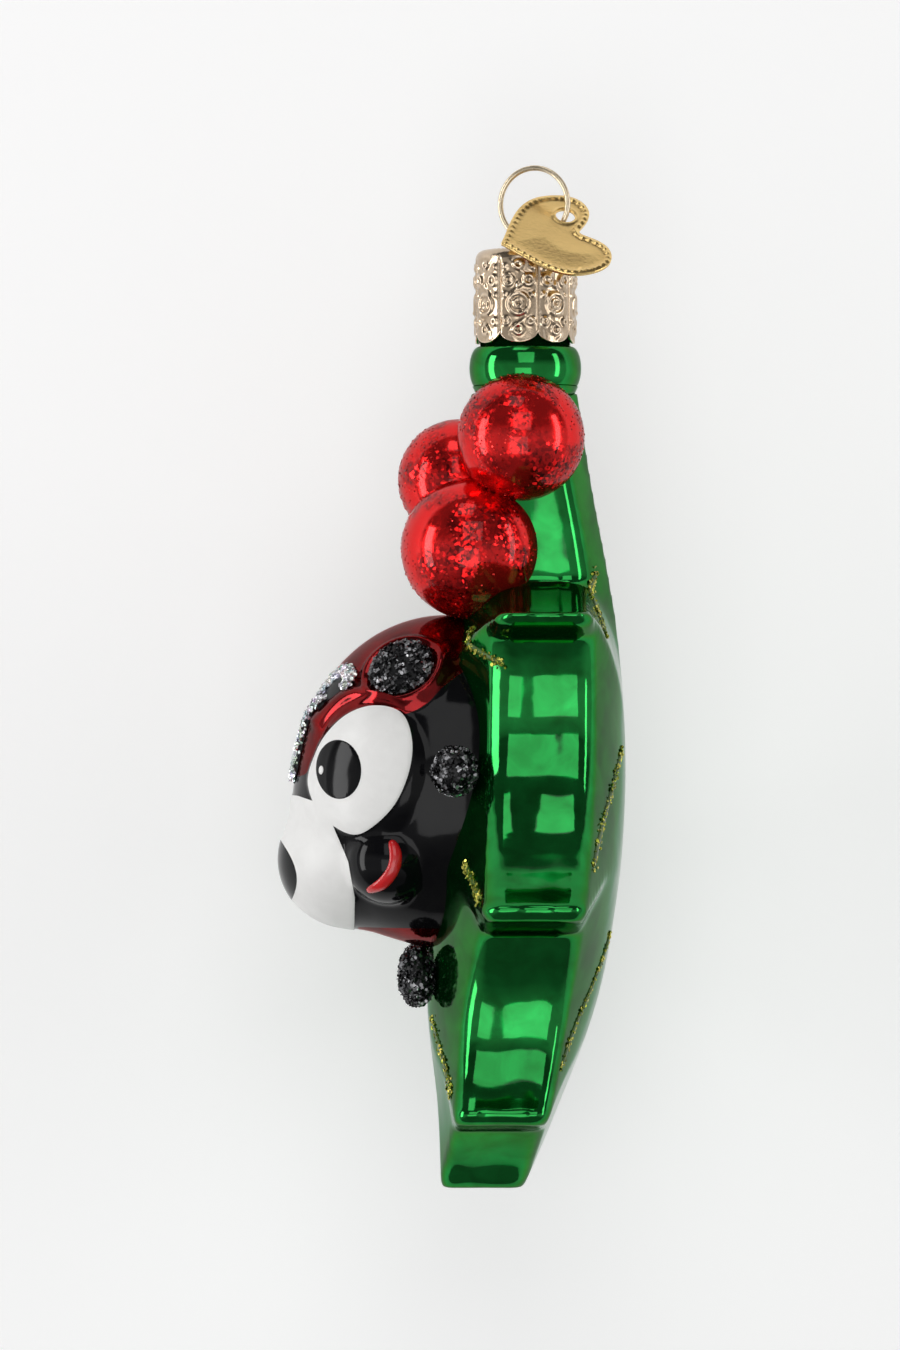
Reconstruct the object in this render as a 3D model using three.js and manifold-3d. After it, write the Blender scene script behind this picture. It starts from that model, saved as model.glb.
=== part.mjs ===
// Ladybug ornament: a blown glass ladybug on a holly leaf with three berries, hung by a
// stamped cap, a sprung wire loop and a heart tag.
// Millimetres, +Z up. The ladybug looks along -Y. The origin is where a hook carries the
// ornament: the inside of the loop, at its top.

import * as THREE from 'three';
import { mergeVertices } from 'three/addons/utils/BufferGeometryUtils.js';
import Module from 'manifold-3d';

const wasm = await Module();
wasm.setup();

// Clearances and walls
const gap = 0.3;
const glassWall = 1.0;
const wingSeam = 0.35;

// Hanger: one spring wire, a loop and two legs; the loop is turned about the vertical
const wire = 0.65;
const loopBore = 7.7;
const loopTurn = 22;
const loopStand = 0.8;
const legSpread = 4.6;
const legDepth = 12.5;

// Cap: a stamped cup with panels and a scalloped edge
const capWidth = 12.2;
const capHeight = 10.8;
const capSheet = 0.4;
const capCorner = 1.1;
const capPanels = 8;
const capPhase = 14;
const panelDish = 0.15;
const scallopDepth = 1.4;
const scallopPoint = 0.6;
const capAxisY = -1.0;

// Glass neck: a tube inside the cap and a bulb below it
const neckFit = 0.35;
const neckWall = 1.0;
const neckTopGap = 0.7;
const bulbProud = 0.35;
const bulbHeight = 5.0;
const bulbRound = 1.4;

// Heart tag: stamped sheet with a raised rim, leaning on the cap
const tagLength = 12.0;
const tagWidth = 13.8;
const tagNotch = 2.4;
const tagSheet = 0.35;
const tagRim = 0.8;
const tagRimRise = 0.2;
const tagHole = 2.3;
const tagHoleAlong = 9.0;
const tagHoleAside = 3.1;
const tagLean = 46;
const tagYaw = 10;
const tagRoll = 12;
const tagAtAngle = -22;

// Holly leaf: runs from the stem to each spike and on to the end, and half widths
const stemRun = 26.4;
const shoulderRun = 32.9;
const waistRun = 23.5;
const tipRun = 8.4;
const stemHalf = 6.4;
const throatHalf = 11;
const upperSpike = 24;
const middleSpike = 32;
const lowerSpike = 20;
const tipHalf = 5.5;
const leafLength = stemRun + shoulderRun + waistRun + tipRun;

// Rows down the leaf: the rim's middle and breadth front to back, and how far the front and back
// pillow out of it at the midrib; corner, undercut and sag shape the edge below and above a spike.
const leafRows = [
  { drop: 0, middle: -1.2, rim: 5.0, front: 3.8, back: 3.8, half: stemHalf },
  { drop: 0.38 * stemRun, middle: -0.2, rim: 7.6, front: 3.8, back: 3.0 },
  { drop: 0.83 * stemRun, middle: 0.85, rim: 9.5, front: 5.0, back: 3.2, half: throatHalf },
  {
    drop: stemRun, middle: 1.0, rim: 9.8, front: 6.0, back: 3.6,
    half: upperSpike, corner: 4.5, undercut: 2, sag: 1.5,
  },
  { drop: stemRun + 0.55 * shoulderRun, middle: 0.7, rim: 10.7, front: 6.5, back: 4.5 },
  {
    drop: stemRun + shoulderRun, middle: -0.2, rim: 10.5, front: 6.3, back: 4.3,
    half: middleSpike, corner: 11, undercut: 2.2, sag: 7,
  },
  { drop: leafLength - tipRun - 0.54 * waistRun, middle: -2.1, rim: 10.6, front: 4.9, back: 4.0 },
  {
    drop: leafLength - tipRun, middle: -3.9, rim: 10.3, front: 2.0, back: 1.2,
    half: lowerSpike, corner: 7.5, undercut: 1.3, sag: 4,
  },
  { drop: leafLength, middle: -6.0, rim: 9.2, front: 0.1, back: 0.1, half: tipHalf, sag: 1 },
];
const spikeRound = 0.9;
const rimEdge = 1.2;
const rimDish = 0.35;
const pillowReach = 20;

// Berries: beside and ahead of the stem, down from the leaf's top
const berries = {
  berry_lower: { aside: 1.5, ahead: 7.75, drop: 18.0, radius: 8.3 },
  berry_upper_right: { aside: 5.5, ahead: 0.9, drop: 5.3, radius: 7.5 },
  berry_upper_left: { aside: -5.0, ahead: 8.4, drop: 9.9, radius: 7.25 },
};

// Ladybug: the body is a dome on the leaf, the head swells out of its front
const bodyDrop = 44.7;
const bodySink = 1.1;
const bodySemi = [15.4, 17.25, 19.2];
const headAhead = 6.3;
const headDrop = 4.6;
const headSemi = [12.4, 11.5, 12.6];
const muzzleAhead = 10.9;
const muzzleDrop = 8.9;
const muzzleSemi = [9.2, 8.3, 7.9];

// The lines between lacquers on the body: brow, hem of the wing case, chin
const browDrop = 2.2;
const hemAhead = 6.3;
const hemRise = 8.2;
const hemSlope = 39;
const chinDrop = 16.6;

// Swellings and deposits on the skin: degrees round from the front, degrees up, rise of the centre
const eyeAt = { round: 56, up: 4, rise: -1.2, roll: 14, semi: [7.0, 2.7, 8.0] };
const pupilAt = { round: 45.5, up: 4.2, rise: 1.3, roll: 6, semi: [3.1, 1.0, 3.5] };
const cheekAt = { round: 60, up: -30.5, rise: -2.2, semi: [5, 5, 5] };
const noseAt = { round: 0, up: -11, rise: -0.4, semi: [4.6, 1.5, 3.3] };
const spotAt = { round: 66, up: 43, rise: 0.35, semi: [3.9, 0.8, 3.9] };
const handAt = { round: 93, up: 4, rise: 1.0, semi: [2.6, 2.7, 2.8] };
const collarWidth = 1.7;
const collarRise = 0.1;
const antennaWidth = 1.7;
const antennaHeight = 0.8;
const antennaAt = { baseRound: 6, baseUp: -3, curlRound: 25, curlUp: 33, curlRadius: 2.7 };
const curlTurn = 290;
const curlInner = 0.5;
const smileWidth = 1.5;
const smileHeight = 0.6;
const smileArc = { ahead: 1.6, rise: 0.4, radius: 3.6, from: 34, to: -82 };
const footAt = { aside: 5.5, below: 3.0, rise: 2.0, semi: [2.5, 2.1, 3.4] };

// Glitter lines along the leaf's side veins: beside the midrib and down the leaf, start and end;
// the lowest in front starts below the foot
const veinWidth = 1.0;
const veinHeight = 0.7;
const footToVein = 1.2;
const footDrop = bodyDrop + bodySemi[2] + footAt.below;
const veins = {
  front_upper: { face: -1, start: [10, 27.0], end: [20, 32.0] },
  front_middle: { face: -1, start: [18.5, 53.5], end: [28, 57.6] },
  front_lower: { face: -1, start: [3.5, footDrop + footAt.semi[2] + footToVein], end: [15.5, 80.0] },
  back_upper: { face: 1, start: [3, 20.6], end: [16, 27.4] },
  back_middle: { face: 1, start: [5, 40.7], end: [24, 54.2] },
  back_lower: { face: 1, start: [4, 61.6], end: [15, 77.2] },
};

// Widths that follow the cap
const neckTube = capWidth - 2 * (capSheet + panelDish + neckFit);
const neckBore = neckTube - 2 * neckWall;
const bulbWidth = capWidth + 2 * bulbProud;

// Heights, stacked down from the hook
const loopRadius = (loopBore + wire) / 2;
const loopCentreZ = -loopBore / 2;
const capTopZ = loopCentreZ - loopRadius - wire / 2 - loopStand;
const capEdgeZ = capTopZ - capHeight;
const neckTopZ = capTopZ - capSheet - neckTopGap;
const shoulderZ = capEdgeZ - gap;
const neckFootZ = shoulderZ - bulbHeight;
const leafTopZ = neckFootZ - gap;

const paint = (color, roughness, metalness = 0) =>
  new THREE.MeshStandardMaterial({ color, roughness, metalness });
const paints = {
  greenGlass: paint('#0d7a2f', 0.12, 0.6),
  redGlass: paint('#8e1016', 0.12, 0.5),
  berryGlass: paint('#c4101c', 0.2, 0.5),
  blackEnamel: paint('#08080a', 0.12),
  whiteEnamel: paint('#efeee8', 0.3),
  redEnamel: paint('#d3141b', 0.2),
  blackGlitter: paint('#16161a', 0.6, 0.3),
  silverGlitter: paint('#b9bcc0', 0.45, 0.7),
  greenGlitter: paint('#a8b52c', 0.5, 0.5),
  capMetal: paint('#c9a479', 0.3, 1),
  wireMetal: paint('#c2a878', 0.3, 1),
  tagMetal: paint('#dda53f', 0.28, 1),
};

// Faces round and down a blown form
const domeMesh = [24, 14];
const headMesh = [18, 11];
const berryMesh = [16, 10];
const faceMesh = [14, 9];
const smallMesh = [12, 7];

const radians = THREE.MathUtils.degToRad;
const degrees = THREE.MathUtils.radToDeg;
const vector = (x, y, z) => new THREE.Vector3(x, y, z);

function solid(geometry) {
  const bare = geometry.clone();
  bare.deleteAttribute('normal');
  bare.deleteAttribute('uv');
  const merged = mergeVertices(bare);
  const vertProperties = new Float32Array(merged.attributes.position.array);
  const triVerts = new Uint32Array(merged.index.array);
  return new wasm.Manifold(new wasm.Mesh({ numProp: 3, vertProperties, triVerts }));
}

const cut = (body, ...tools) => tools.reduce((left, tool) => left.subtract(tool), body);
const join = (...bodies) => bodies.reduce((sum, body) => sum.add(body));

// A cut can leave a chip beside the piece; the piece is the largest body.
const largest = (body) => body.decompose().sort((a, b) => b.volume() - a.volume())[0];

const ornament = new THREE.Group();

function add(name, body, material) {
  const { vertProperties, triVerts } = largest(body).getMesh();
  const geometry = new THREE.BufferGeometry();
  geometry.setAttribute('position', new THREE.BufferAttribute(vertProperties, 3));
  geometry.setIndex(new THREE.BufferAttribute(triVerts, 1));
  const mesh = new THREE.Mesh(geometry, material);
  mesh.name = name;
  ornament.add(mesh);
}

// A skin through rings of equal count, each anticlockwise seen from the next ring's side
function loft(rings) {
  const count = rings[0].length;
  const positions = [];
  const indices = [];
  for (const ring of rings) ring.forEach((p) => positions.push(p.x, p.y, p.z));
  for (let start = 0; start < (rings.length - 1) * count; start += count) {
    for (let i = 0; i < count; i++) {
      const a = start + i;
      const b = start + ((i + 1) % count);
      indices.push(a, b, a + count, b, b + count, a + count);
    }
  }
  [rings[0], rings.at(-1)].forEach((ring, end) => {
    const middle = ring.reduce((sum, p) => sum.add(p), vector(0, 0, 0)).divideScalar(count);
    const hub = positions.length / 3;
    positions.push(middle.x, middle.y, middle.z);
    for (let i = 0; i < count; i++) {
      const a = end * (rings.length - 1) * count + i;
      const b = end * (rings.length - 1) * count + ((i + 1) % count);
      indices.push(...(end ? [hub, a, b] : [hub, b, a]));
    }
  });
  const geometry = new THREE.BufferGeometry();
  geometry.setAttribute('position', new THREE.Float32BufferAttribute(positions, 3));
  geometry.setIndex(indices);
  return solid(geometry);
}

// An ellipsoid; a facing one has its own Y axis turned to look back along that direction
function ellipsoid({ centre, semi, facing, roll = 0, mesh = smallMesh }, grow = 0) {
  const geometry = new THREE.SphereGeometry(1, ...mesh).rotateX(Math.PI / 2);
  geometry.scale(...semi.map((half) => half + grow));
  if (facing) {
    geometry.rotateY(roll);
    const side = vector(-facing.y, facing.x, 0).normalize();
    const up = facing.clone().cross(side);
    geometry.applyMatrix4(new THREE.Matrix4().makeBasis(side, facing.clone().negate(), up));
  }
  return solid(geometry.translate(centre.x, centre.y, centre.z));
}

// A raised line along a path: each stop has a place and the way out of the skin under it
function raisedLine(stops, width, height, points = 6) {
  const path = new THREE.CatmullRomCurve3(stops.map((stop) => stop.place), false, 'centripetal');
  const rings = stops.map(({ place, outward }, i) => {
    const along = path.getTangent(i / (stops.length - 1));
    const sideways = along.clone().cross(outward).normalize();
    return Array.from({ length: points }, (_, p) => {
      const angle = (2 * Math.PI * p) / points;
      const lifted = place.clone().addScaledVector(outward, (height / 2) * Math.cos(angle));
      return lifted.addScaledVector(sideways, (width / 2) * Math.sin(angle));
    });
  });
  return loft(rings);
}

function roundSection(radius, sides) {
  const shape = new THREE.Shape();
  shape.absarc(0, 0, radius, 0, 2 * Math.PI);
  return new THREE.Shape(shape.getSpacedPoints(sides).slice(0, sides));
}

// Cap: rings of a panelled wall, rounded into the top
const panelRadius = (radius, angle) => {
  const fromPanel = (angle - radians(capPhase)) * (capPanels / 2);
  return radius - panelDish * (1 - Math.abs(Math.cos(fromPanel)));
};

function panelRing(radius, z) {
  const count = capPanels * 4;
  return Array.from({ length: count }, (_, i) => {
    const angle = radians(capPhase) + (2 * Math.PI * i) / count;
    const r = panelRadius(radius, angle);
    return vector(r * Math.cos(angle), capAxisY + r * Math.sin(angle), z);
  });
}

function makeCup(radius, bottom, top, corner) {
  const rounding = [0, 45, 90].map((turn) => panelRing(
    radius - corner * (1 - Math.cos(radians(turn))),
    top - corner * (1 - Math.sin(radians(turn))),
  ));
  return loft([panelRing(radius, bottom), ...rounding]);
}

const legWay = vector(Math.sin(radians(loopTurn)), Math.cos(radians(loopTurn)), 0);

function makeCap() {
  const inner = capCorner - capSheet;
  const below = capEdgeZ - capSheet;
  const wall = makeCup(capWidth / 2, capEdgeZ, capTopZ, capCorner)
    .subtract(makeCup(capWidth / 2 - capSheet, below, capTopZ - capSheet, inner));
  const half = (Math.PI * capWidth) / capPanels / 2 - scallopPoint / 2;
  const radius = (half ** 2 + scallopDepth ** 2) / (2 * scallopDepth);
  const cutters = [];
  for (let i = 0; i < capPanels / 2; i++) {
    const bar = new THREE.CylinderGeometry(radius, radius, 2 * capWidth, 16);
    bar.rotateZ(radians(capPhase) + (2 * Math.PI * i) / capPanels + Math.PI / capPanels - Math.PI / 2);
    cutters.push(solid(bar.translate(0, capAxisY, capEdgeZ + scallopDepth - radius)));
  }
  for (const side of [-1, 1]) {
    const hole = new THREE.CylinderGeometry(wire / 2 + gap, wire / 2 + gap, 4 * capSheet, 8);
    hole.rotateX(Math.PI / 2);
    const at = legWay.clone().multiplyScalar((side * legSpread) / 2).setZ(capTopZ);
    cutters.push(solid(hole.translate(at.x, at.y, at.z)));
  }
  return cut(wall, ...cutters);
}

// Hanger: leg, loop, leg, in one plane turned about the vertical through the loop
const inLoopPlane = (across, z) => legWay.clone().multiplyScalar(across).setZ(z);

function makeHanger() {
  const footReach = (neckBore - wire) / 2 - gap;
  const footZ = capTopZ - legDepth;
  const foot = (side) => vector(0, capAxisY, footZ).addScaledVector(legWay, side * footReach);
  const footAngle = Math.asin(legSpread / 2 / loopRadius);
  const loopStops = 20;
  const loop = Array.from({ length: loopStops + 1 }, (_, i) => {
    const angle = -Math.PI + footAngle + ((2 * Math.PI - 2 * footAngle) * i) / loopStops;
    return inLoopPlane(loopRadius * Math.sin(angle), loopCentreZ + loopRadius * Math.cos(angle));
  });
  const through = [capTopZ + loopStand / 2, capTopZ - capSheet - wire];
  const leg = (side) => [...through.map((z) => inLoopPlane((side * legSpread) / 2, z)), foot(side)];
  const stops = [...leg(-1).reverse(), ...loop, ...leg(1)];
  const extrudePath = new THREE.CatmullRomCurve3(stops, false, 'centripetal');
  const options = { steps: 42, extrudePath, bevelEnabled: false };
  return solid(new THREE.ExtrudeGeometry(roundSection(wire / 2, 8), options));
}

// Tag: a heart whose tip looks along its own X, hung by the hole beside its notch
function heartOutline(inset = 0) {
  const length = tagLength - 2 * inset;
  const half = tagWidth / 2 - inset;
  const notch = tagLength - tagNotch - 2 * inset;
  const shape = new THREE.Shape();
  shape.moveTo(0, 0);
  for (const side of [1, -1]) {
    const h = side * half;
    const lobeTop = [length, 0.54 * h];
    const curves = [
      [0.16 * length, 0.34 * h, 0.32 * length, h, 0.64 * length, h],
      [0.86 * length, h, length, 0.84 * h, ...lobeTop],
      [length, 0.24 * h, notch, 0.1 * h, notch, 0],
    ];
    if (side > 0) curves.forEach((curve) => shape.bezierCurveTo(...curve));
    else {
      shape.bezierCurveTo(notch, 0.1 * h, length, 0.24 * h, ...lobeTop);
      shape.bezierCurveTo(length, 0.84 * h, 0.86 * length, h, 0.64 * length, h);
      shape.bezierCurveTo(0.32 * length, h, 0.16 * length, 0.34 * h, 0, 0);
    }
  }
  return shape;
}

const tagSeat = inLoopPlane(
  loopRadius * Math.cos(radians(tagAtAngle)),
  loopCentreZ + loopRadius * Math.sin(radians(tagAtAngle)),
);

function makeTag() {
  const press = (shape, depth) => {
    return new THREE.ExtrudeGeometry(shape, { depth, bevelEnabled: false, curveSegments: 6 });
  };
  const inner = press(heartOutline(tagRim), 2 * tagRimRise).translate(tagRim, 0, tagSheet);
  const hole = new THREE.CylinderGeometry(tagHole / 2, tagHole / 2, 4 * tagSheet, 14);
  hole.rotateX(Math.PI / 2).translate(tagHoleAlong, tagHoleAside, 0);
  const flat = cut(solid(press(heartOutline(), tagSheet + tagRimRise)), solid(inner), solid(hole));
  const [lean, yaw] = [radians(tagLean), radians(tagYaw)];
  const facing = vector(Math.cos(lean) * Math.cos(yaw), Math.cos(lean) * Math.sin(yaw), Math.sin(lean));
  const level = vector(-Math.sin(yaw), Math.cos(yaw), 0);
  const place = new THREE.Matrix4().makeBasis(level, facing.clone().cross(level), facing);
  place.setPosition(tagSeat);
  place.multiply(new THREE.Matrix4().makeRotationZ(radians(tagRoll)));
  place.multiply(new THREE.Matrix4().makeTranslation(-tagHoleAlong, -tagHoleAside, -tagSheet / 2));
  return flat.transform(place.toArray());
}

// Neck: a lathed tube with a bulb, open from end to end
function makeNeck() {
  const [bore, tube, bulb] = [neckBore / 2, neckTube / 2, bulbWidth / 2];
  const profile = new THREE.Path();
  profile.moveTo(bore, neckFootZ);
  profile.lineTo(bulb - bulbRound, neckFootZ);
  profile.quadraticCurveTo(bulb, neckFootZ, bulb, neckFootZ + bulbRound);
  profile.lineTo(bulb, shoulderZ - bulbRound);
  profile.quadraticCurveTo(bulb, shoulderZ, bulb - bulbRound, shoulderZ);
  profile.lineTo(tube, shoulderZ);
  profile.lineTo(tube, neckTopZ);
  profile.lineTo(bore, neckTopZ);
  profile.closePath();
  const geometry = new THREE.LatheGeometry(profile.getPoints(2), 24).rotateX(Math.PI / 2);
  return solid(geometry.translate(0, capAxisY, 0));
}

// Leaf edge, half widths against drops: stem, three spikes with a hollow edge above each, the end
const edge = new THREE.Path();
let corner = { half: stemHalf, drop: 0 };
edge.moveTo(corner.half, corner.drop);
for (const row of leafRows.slice(1).filter((each) => each.half)) {
  const { half, drop, undercut = 0, sag = 0 } = row;
  const middle = [(corner.half + half) / 2 - 2 * sag, (corner.drop + drop) / 2];
  if (sag) edge.quadraticCurveTo(...middle, half, drop - spikeRound);
  else edge.quadraticCurveTo(corner.half, (corner.drop + drop) / 2, half, drop);
  corner = { half: half - (row.corner ?? 0), drop: drop + undercut };
  if (undercut) {
    edge.lineTo(half - spikeRound, drop + undercut / 4);
    edge.lineTo(corner.half, corner.drop);
  }
}
edge.lineTo(corner.half - spikeRound, leafLength);
const edgePoints = edge.getPoints(4);

function halfWidthAt(drop) {
  const held = THREE.MathUtils.clamp(drop, 0, leafLength);
  const next = Math.max(1, edgePoints.findIndex((p) => p.y >= held));
  const [low, high] = [edgePoints[next - 1], edgePoints[next]];
  return THREE.MathUtils.mapLinear(held, low.y, high.y, low.x, high.x);
}

// How far a place on the leaf is from its edge, the open stem end left out
function edgeDistance(aside, drop) {
  const place = vector(Math.abs(aside), drop, 0);
  const nearest = vector(0, 0, 0);
  const distances = edgePoints.slice(1).map((end, i) => {
    const start = edgePoints[i];
    const stretch = new THREE.Line3(vector(start.x, start.y, 0), vector(end.x, end.y, 0));
    return stretch.closestPointToPoint(place, true, nearest).distanceTo(place);
  });
  return Math.max(Math.min(leafLength - drop, ...distances), 0);
}

const depthCurves = Object.fromEntries(['middle', 'rim', 'front', 'back'].map((name) => {
  const [drops, values] = [leafRows.map((row) => row.drop), leafRows.map((row) => row[name])];
  return [name, new THREE.CubicInterpolant(drops, values, 1)];
}));
const depthAt = (name, drop) => depthCurves[name].evaluate(drop)[0];

// The pillow rises with the distance from the edge and is full at the midrib.
function crownShare(aside, drop) {
  const swell = (distance) => 1 - (1 - Math.min(distance / pillowReach, 1)) ** 2;
  const full = swell(edgeDistance(0, drop));
  return full > 0 ? Math.min(swell(edgeDistance(aside, drop)) / full, 1) : 0;
}

// Y of the leaf's front (-1) or back (+1) face
function leafFace(side, aside, drop) {
  const crown = depthAt(side < 0 ? 'front' : 'back', drop) * crownShare(aside, drop);
  return depthAt('middle', drop) + side * (depthAt('rim', drop) / 2 + crown);
}

// A ring round the leaf, set in from its skin; window looks up and down for the narrowest width
function leafSection(drop, inset, across, window = 0) {
  const shifts = [-1, -0.5, 0, 0.5, 1].map((share) => share * window);
  const reach = Math.min(...shifts.map((shift) => halfWidthAt(drop + shift))) - inset;
  const z = leafTopZ - drop;
  const middle = depthAt('middle', drop);
  const rim = depthAt('rim', drop) / 2 - inset;
  const round = Math.min(rimEdge, reach / 3);
  const ring = [];
  for (const side of [1, -1]) {
    ring.push(vector(side * reach, middle - side * (rim - round), z));
    ring.push(vector(side * (reach - rimDish), middle, z));
    ring.push(vector(side * reach, middle + side * (rim - round), z));
    for (let i = 0; i <= across; i++) {
      const aside = side * (reach - round) * (1 - (2 * i) / across);
      ring.push(vector(aside, leafFace(side, aside, drop) - side * inset, z));
    }
  }
  return ring;
}

const makeLeaf = () => loft(edgePoints.map((point) => leafSection(point.y, 0, 6)).reverse());

function makeLeafHollow() {
  const steps = 14;
  const step = (leafLength - 2 * glassWall) / steps;
  const sections = Array.from({ length: steps + 1 }, (_, i) => {
    return leafSection(step * (steps - i), glassWall, 6, step);
  });
  const mouth = sections.at(-1).map((point) => point.clone().setZ(leafTopZ + gap));
  return loft([...sections, mouth]);
}

// Ladybug forms
const bodyY = leafFace(-1, 0, bodyDrop) + bodySink;
const onBody = (y, z) => vector(0, bodyY + y, leafTopZ - bodyDrop + z);
const body = { centre: onBody(0, 0), semi: bodySemi, mesh: domeMesh };
const head = { centre: onBody(-headAhead, -headDrop), semi: headSemi, mesh: headMesh };
const muzzle = { centre: onBody(-muzzleAhead, -muzzleDrop), semi: muzzleSemi, mesh: faceMesh };

// A place on an ellipsoid's skin and the way out of it
function onSkin({ centre, semi }, round, up, rise = 0) {
  const [a, b] = [radians(round), radians(up)];
  const way = vector(Math.sin(a) * Math.cos(b), -Math.cos(a) * Math.cos(b), Math.sin(b));
  const outward = way.clone().divide(vector(...semi)).normalize();
  const place = way.multiply(vector(...semi)).add(centre).addScaledVector(outward, rise);
  return { place, outward };
}

function pad(form, { round, up, rise, semi, roll = 0, mesh }, side = 1) {
  const { place, outward } = onSkin(form, side * round, up, rise);
  return { centre: place, semi, facing: outward, roll: side * radians(roll), mesh };
}

const sides = { left: -1, right: 1 };
const perSide = (make) => Object.fromEntries(Object.entries(sides).map(([name, s]) => [name, make(s)]));
const eyes = perSide((s) => pad(body, { ...eyeAt, mesh: faceMesh }, s));
const pupils = perSide((s) => pad(body, pupilAt, s));
const spots = perSide((s) => pad(body, spotAt, s));
const hands = perSide((s) => pad(body, handAt, s));
const cheeks = perSide((s) => pad(body, cheekAt, s));
const nose = pad(muzzle, noseAt);
const feet = perSide((s) => {
  const y = leafFace(-1, footAt.aside, footDrop) - footAt.rise;
  return { centre: vector(s * footAt.aside, y, leafTopZ - footDrop), semi: footAt.semi };
});

// A block right across the body that ends a lacquer: how far it runs from a place on the side
const far = 3 * bodySemi[2];

function block({ at, behind = far, down = far, up = far, slope = 0 }, grow = 0) {
  const field = new THREE.BoxGeometry(2 * far, far + behind + 2 * grow, down + up + 2 * grow);
  field.translate(0, (behind - far) / 2, (up - down) / 2).rotateX(radians(slope));
  const { y, z } = onBody(...at);
  return solid(field.translate(0, y, z));
}

// The face and flanks are black from the brow and the wing case's sloping hem down to the chin.
const chin = { at: [0, -chinDrop], up: 0 };

function makeFlanks(grow = 0) {
  const underHem = block({ at: [-hemAhead, hemRise], up: 0, slope: hemSlope }, grow);
  const overBrow = block({ at: [-hemAhead, -browDrop], behind: 0, down: 0 }, -grow);
  return cut(underHem, overBrow, block(chin, -grow));
}

// The wing case has a round rim about each spot.
function makeCollar(side, grow = 0) {
  const reach = spotAt.semi[0] + gap + collarWidth / 2;
  const fall = reach ** 2 / (2 * bodySemi[0]);
  const { place, outward } = onSkin(body, side * spotAt.round, spotAt.up, collarRise - fall);
  const ring = new THREE.TorusGeometry(reach, collarWidth / 2 + grow, 6, 16);
  ring.lookAt(outward);
  return solid(ring.translate(place.x, place.y, place.z));
}

const makeHead = (grow = 0) => join(
  ellipsoid(head, grow),
  ...Object.values(cheeks).map((cheek) => ellipsoid(cheek, grow)),
  ellipsoid(body, grow).intersect(makeFlanks(grow)),
);

function makeAntenna(side) {
  const { baseRound, baseUp, curlRound, curlUp, curlRadius } = antennaAt;
  const curlDegrees = degrees(curlRadius / bodySemi[2]);
  const widen = 1 / Math.cos(radians(curlUp));
  const curl = (turn, share) => [
    curlRound - share * curlDegrees * widen * Math.cos(turn),
    curlUp + share * curlDegrees * Math.sin(turn),
  ];
  const [startRound, startUp] = curl(0, 1);
  const stemStops = 5;
  const curlStops = 12;
  const places = [];
  for (let i = 0; i < stemStops; i++) {
    const t = i / stemStops;
    places.push([baseRound + (startRound - baseRound) * t * t, baseUp + (startUp - baseUp) * t]);
  }
  for (let i = 0; i <= curlStops; i++) {
    const t = i / curlStops;
    places.push(curl(radians(curlTurn) * t, 1 - (1 - curlInner) * t));
  }
  const rise = gap + antennaHeight / 2;
  const stops = places.map(([round, up]) => onSkin(body, side * round, up, rise));
  return raisedLine(stops, antennaWidth, antennaHeight);
}

function makeSmile(side) {
  const { ahead, rise, radius, from, to } = smileArc;
  const cheek = cheeks[side < 0 ? 'left' : 'right'].centre;
  const skin = cheekAt.semi[0] + gap + smileHeight / 2;
  const count = 7;
  const stops = Array.from({ length: count }, (_, i) => {
    const angle = radians(THREE.MathUtils.lerp(from, to, i / (count - 1)));
    const [y, z] = [radius * Math.cos(angle) - ahead, radius * Math.sin(angle) + rise];
    const outward = vector(side * Math.sqrt(skin ** 2 - y ** 2 - z ** 2), y, z);
    return { place: cheek.clone().add(outward), outward: outward.clone().normalize() };
  });
  return raisedLine(stops, smileWidth, smileHeight);
}

// A place on the leaf's face, lifted off it
function onLeaf(face, aside, drop, rise) {
  const step = 0.5;
  const slope = (dx, dz) => leafFace(face, aside + dx, drop + dz) - leafFace(face, aside - dx, drop - dz);
  const outward = vector(-slope(step, 0), 2 * step, slope(0, step)).multiplyScalar(face).normalize();
  const place = vector(aside, leafFace(face, aside, drop), leafTopZ - drop);
  return { place: place.addScaledVector(outward, rise), outward };
}

function makeVein({ face, start, end }, side) {
  const count = 6;
  const rise = gap + veinHeight / 2;
  const stops = Array.from({ length: count }, (_, i) => {
    const t = i / (count - 1);
    const [aside, drop] = start.map((from, axis) => THREE.MathUtils.lerp(from, end[axis], t));
    return onLeaf(face, side * aside, drop, rise);
  });
  return raisedLine(stops, veinWidth, veinHeight);
}

const berryForms = Object.fromEntries(Object.entries(berries).map(([name, berry]) => {
  const centre = vector(berry.aside, depthAt('middle', berry.drop) - berry.ahead, leafTopZ - berry.drop);
  return [name, { centre, semi: [berry.radius, berry.radius, berry.radius], mesh: berryMesh }];
}));

// One hollow runs through every blown form.
const blown = [body, head, muzzle, ...Object.values(berryForms)];
const hollow = join(makeLeafHollow(), ...blown.map((form) => ellipsoid({ ...form, mesh: smallMesh }, -glassWall)));
const grown = (forms) => Object.values(forms).map((form) => ellipsoid(form, gap));
const limbs = [...grown(hands), ...grown(feet)];
const overFace = [...grown(eyes), ellipsoid(muzzle, gap)];

function addHanging() {
  add('hanger_loop', makeHanger(), paints.wireMetal);
  add('heart_tag', makeTag(), paints.tagMetal);
  add('cap', makeCap(), paints.capMetal);
}

function addStem() {
  const forms = Object.entries(berryForms);
  add('glass_neck', cut(makeNeck(), ...grown(berryForms)), paints.greenGlass);
  forms.forEach(([name, form], i) => {
    const over = forms.slice(0, i).map((other) => ellipsoid(other[1], gap));
    add(name, cut(ellipsoid(form), hollow, ...over), paints.berryGlass);
  });
}

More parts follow.
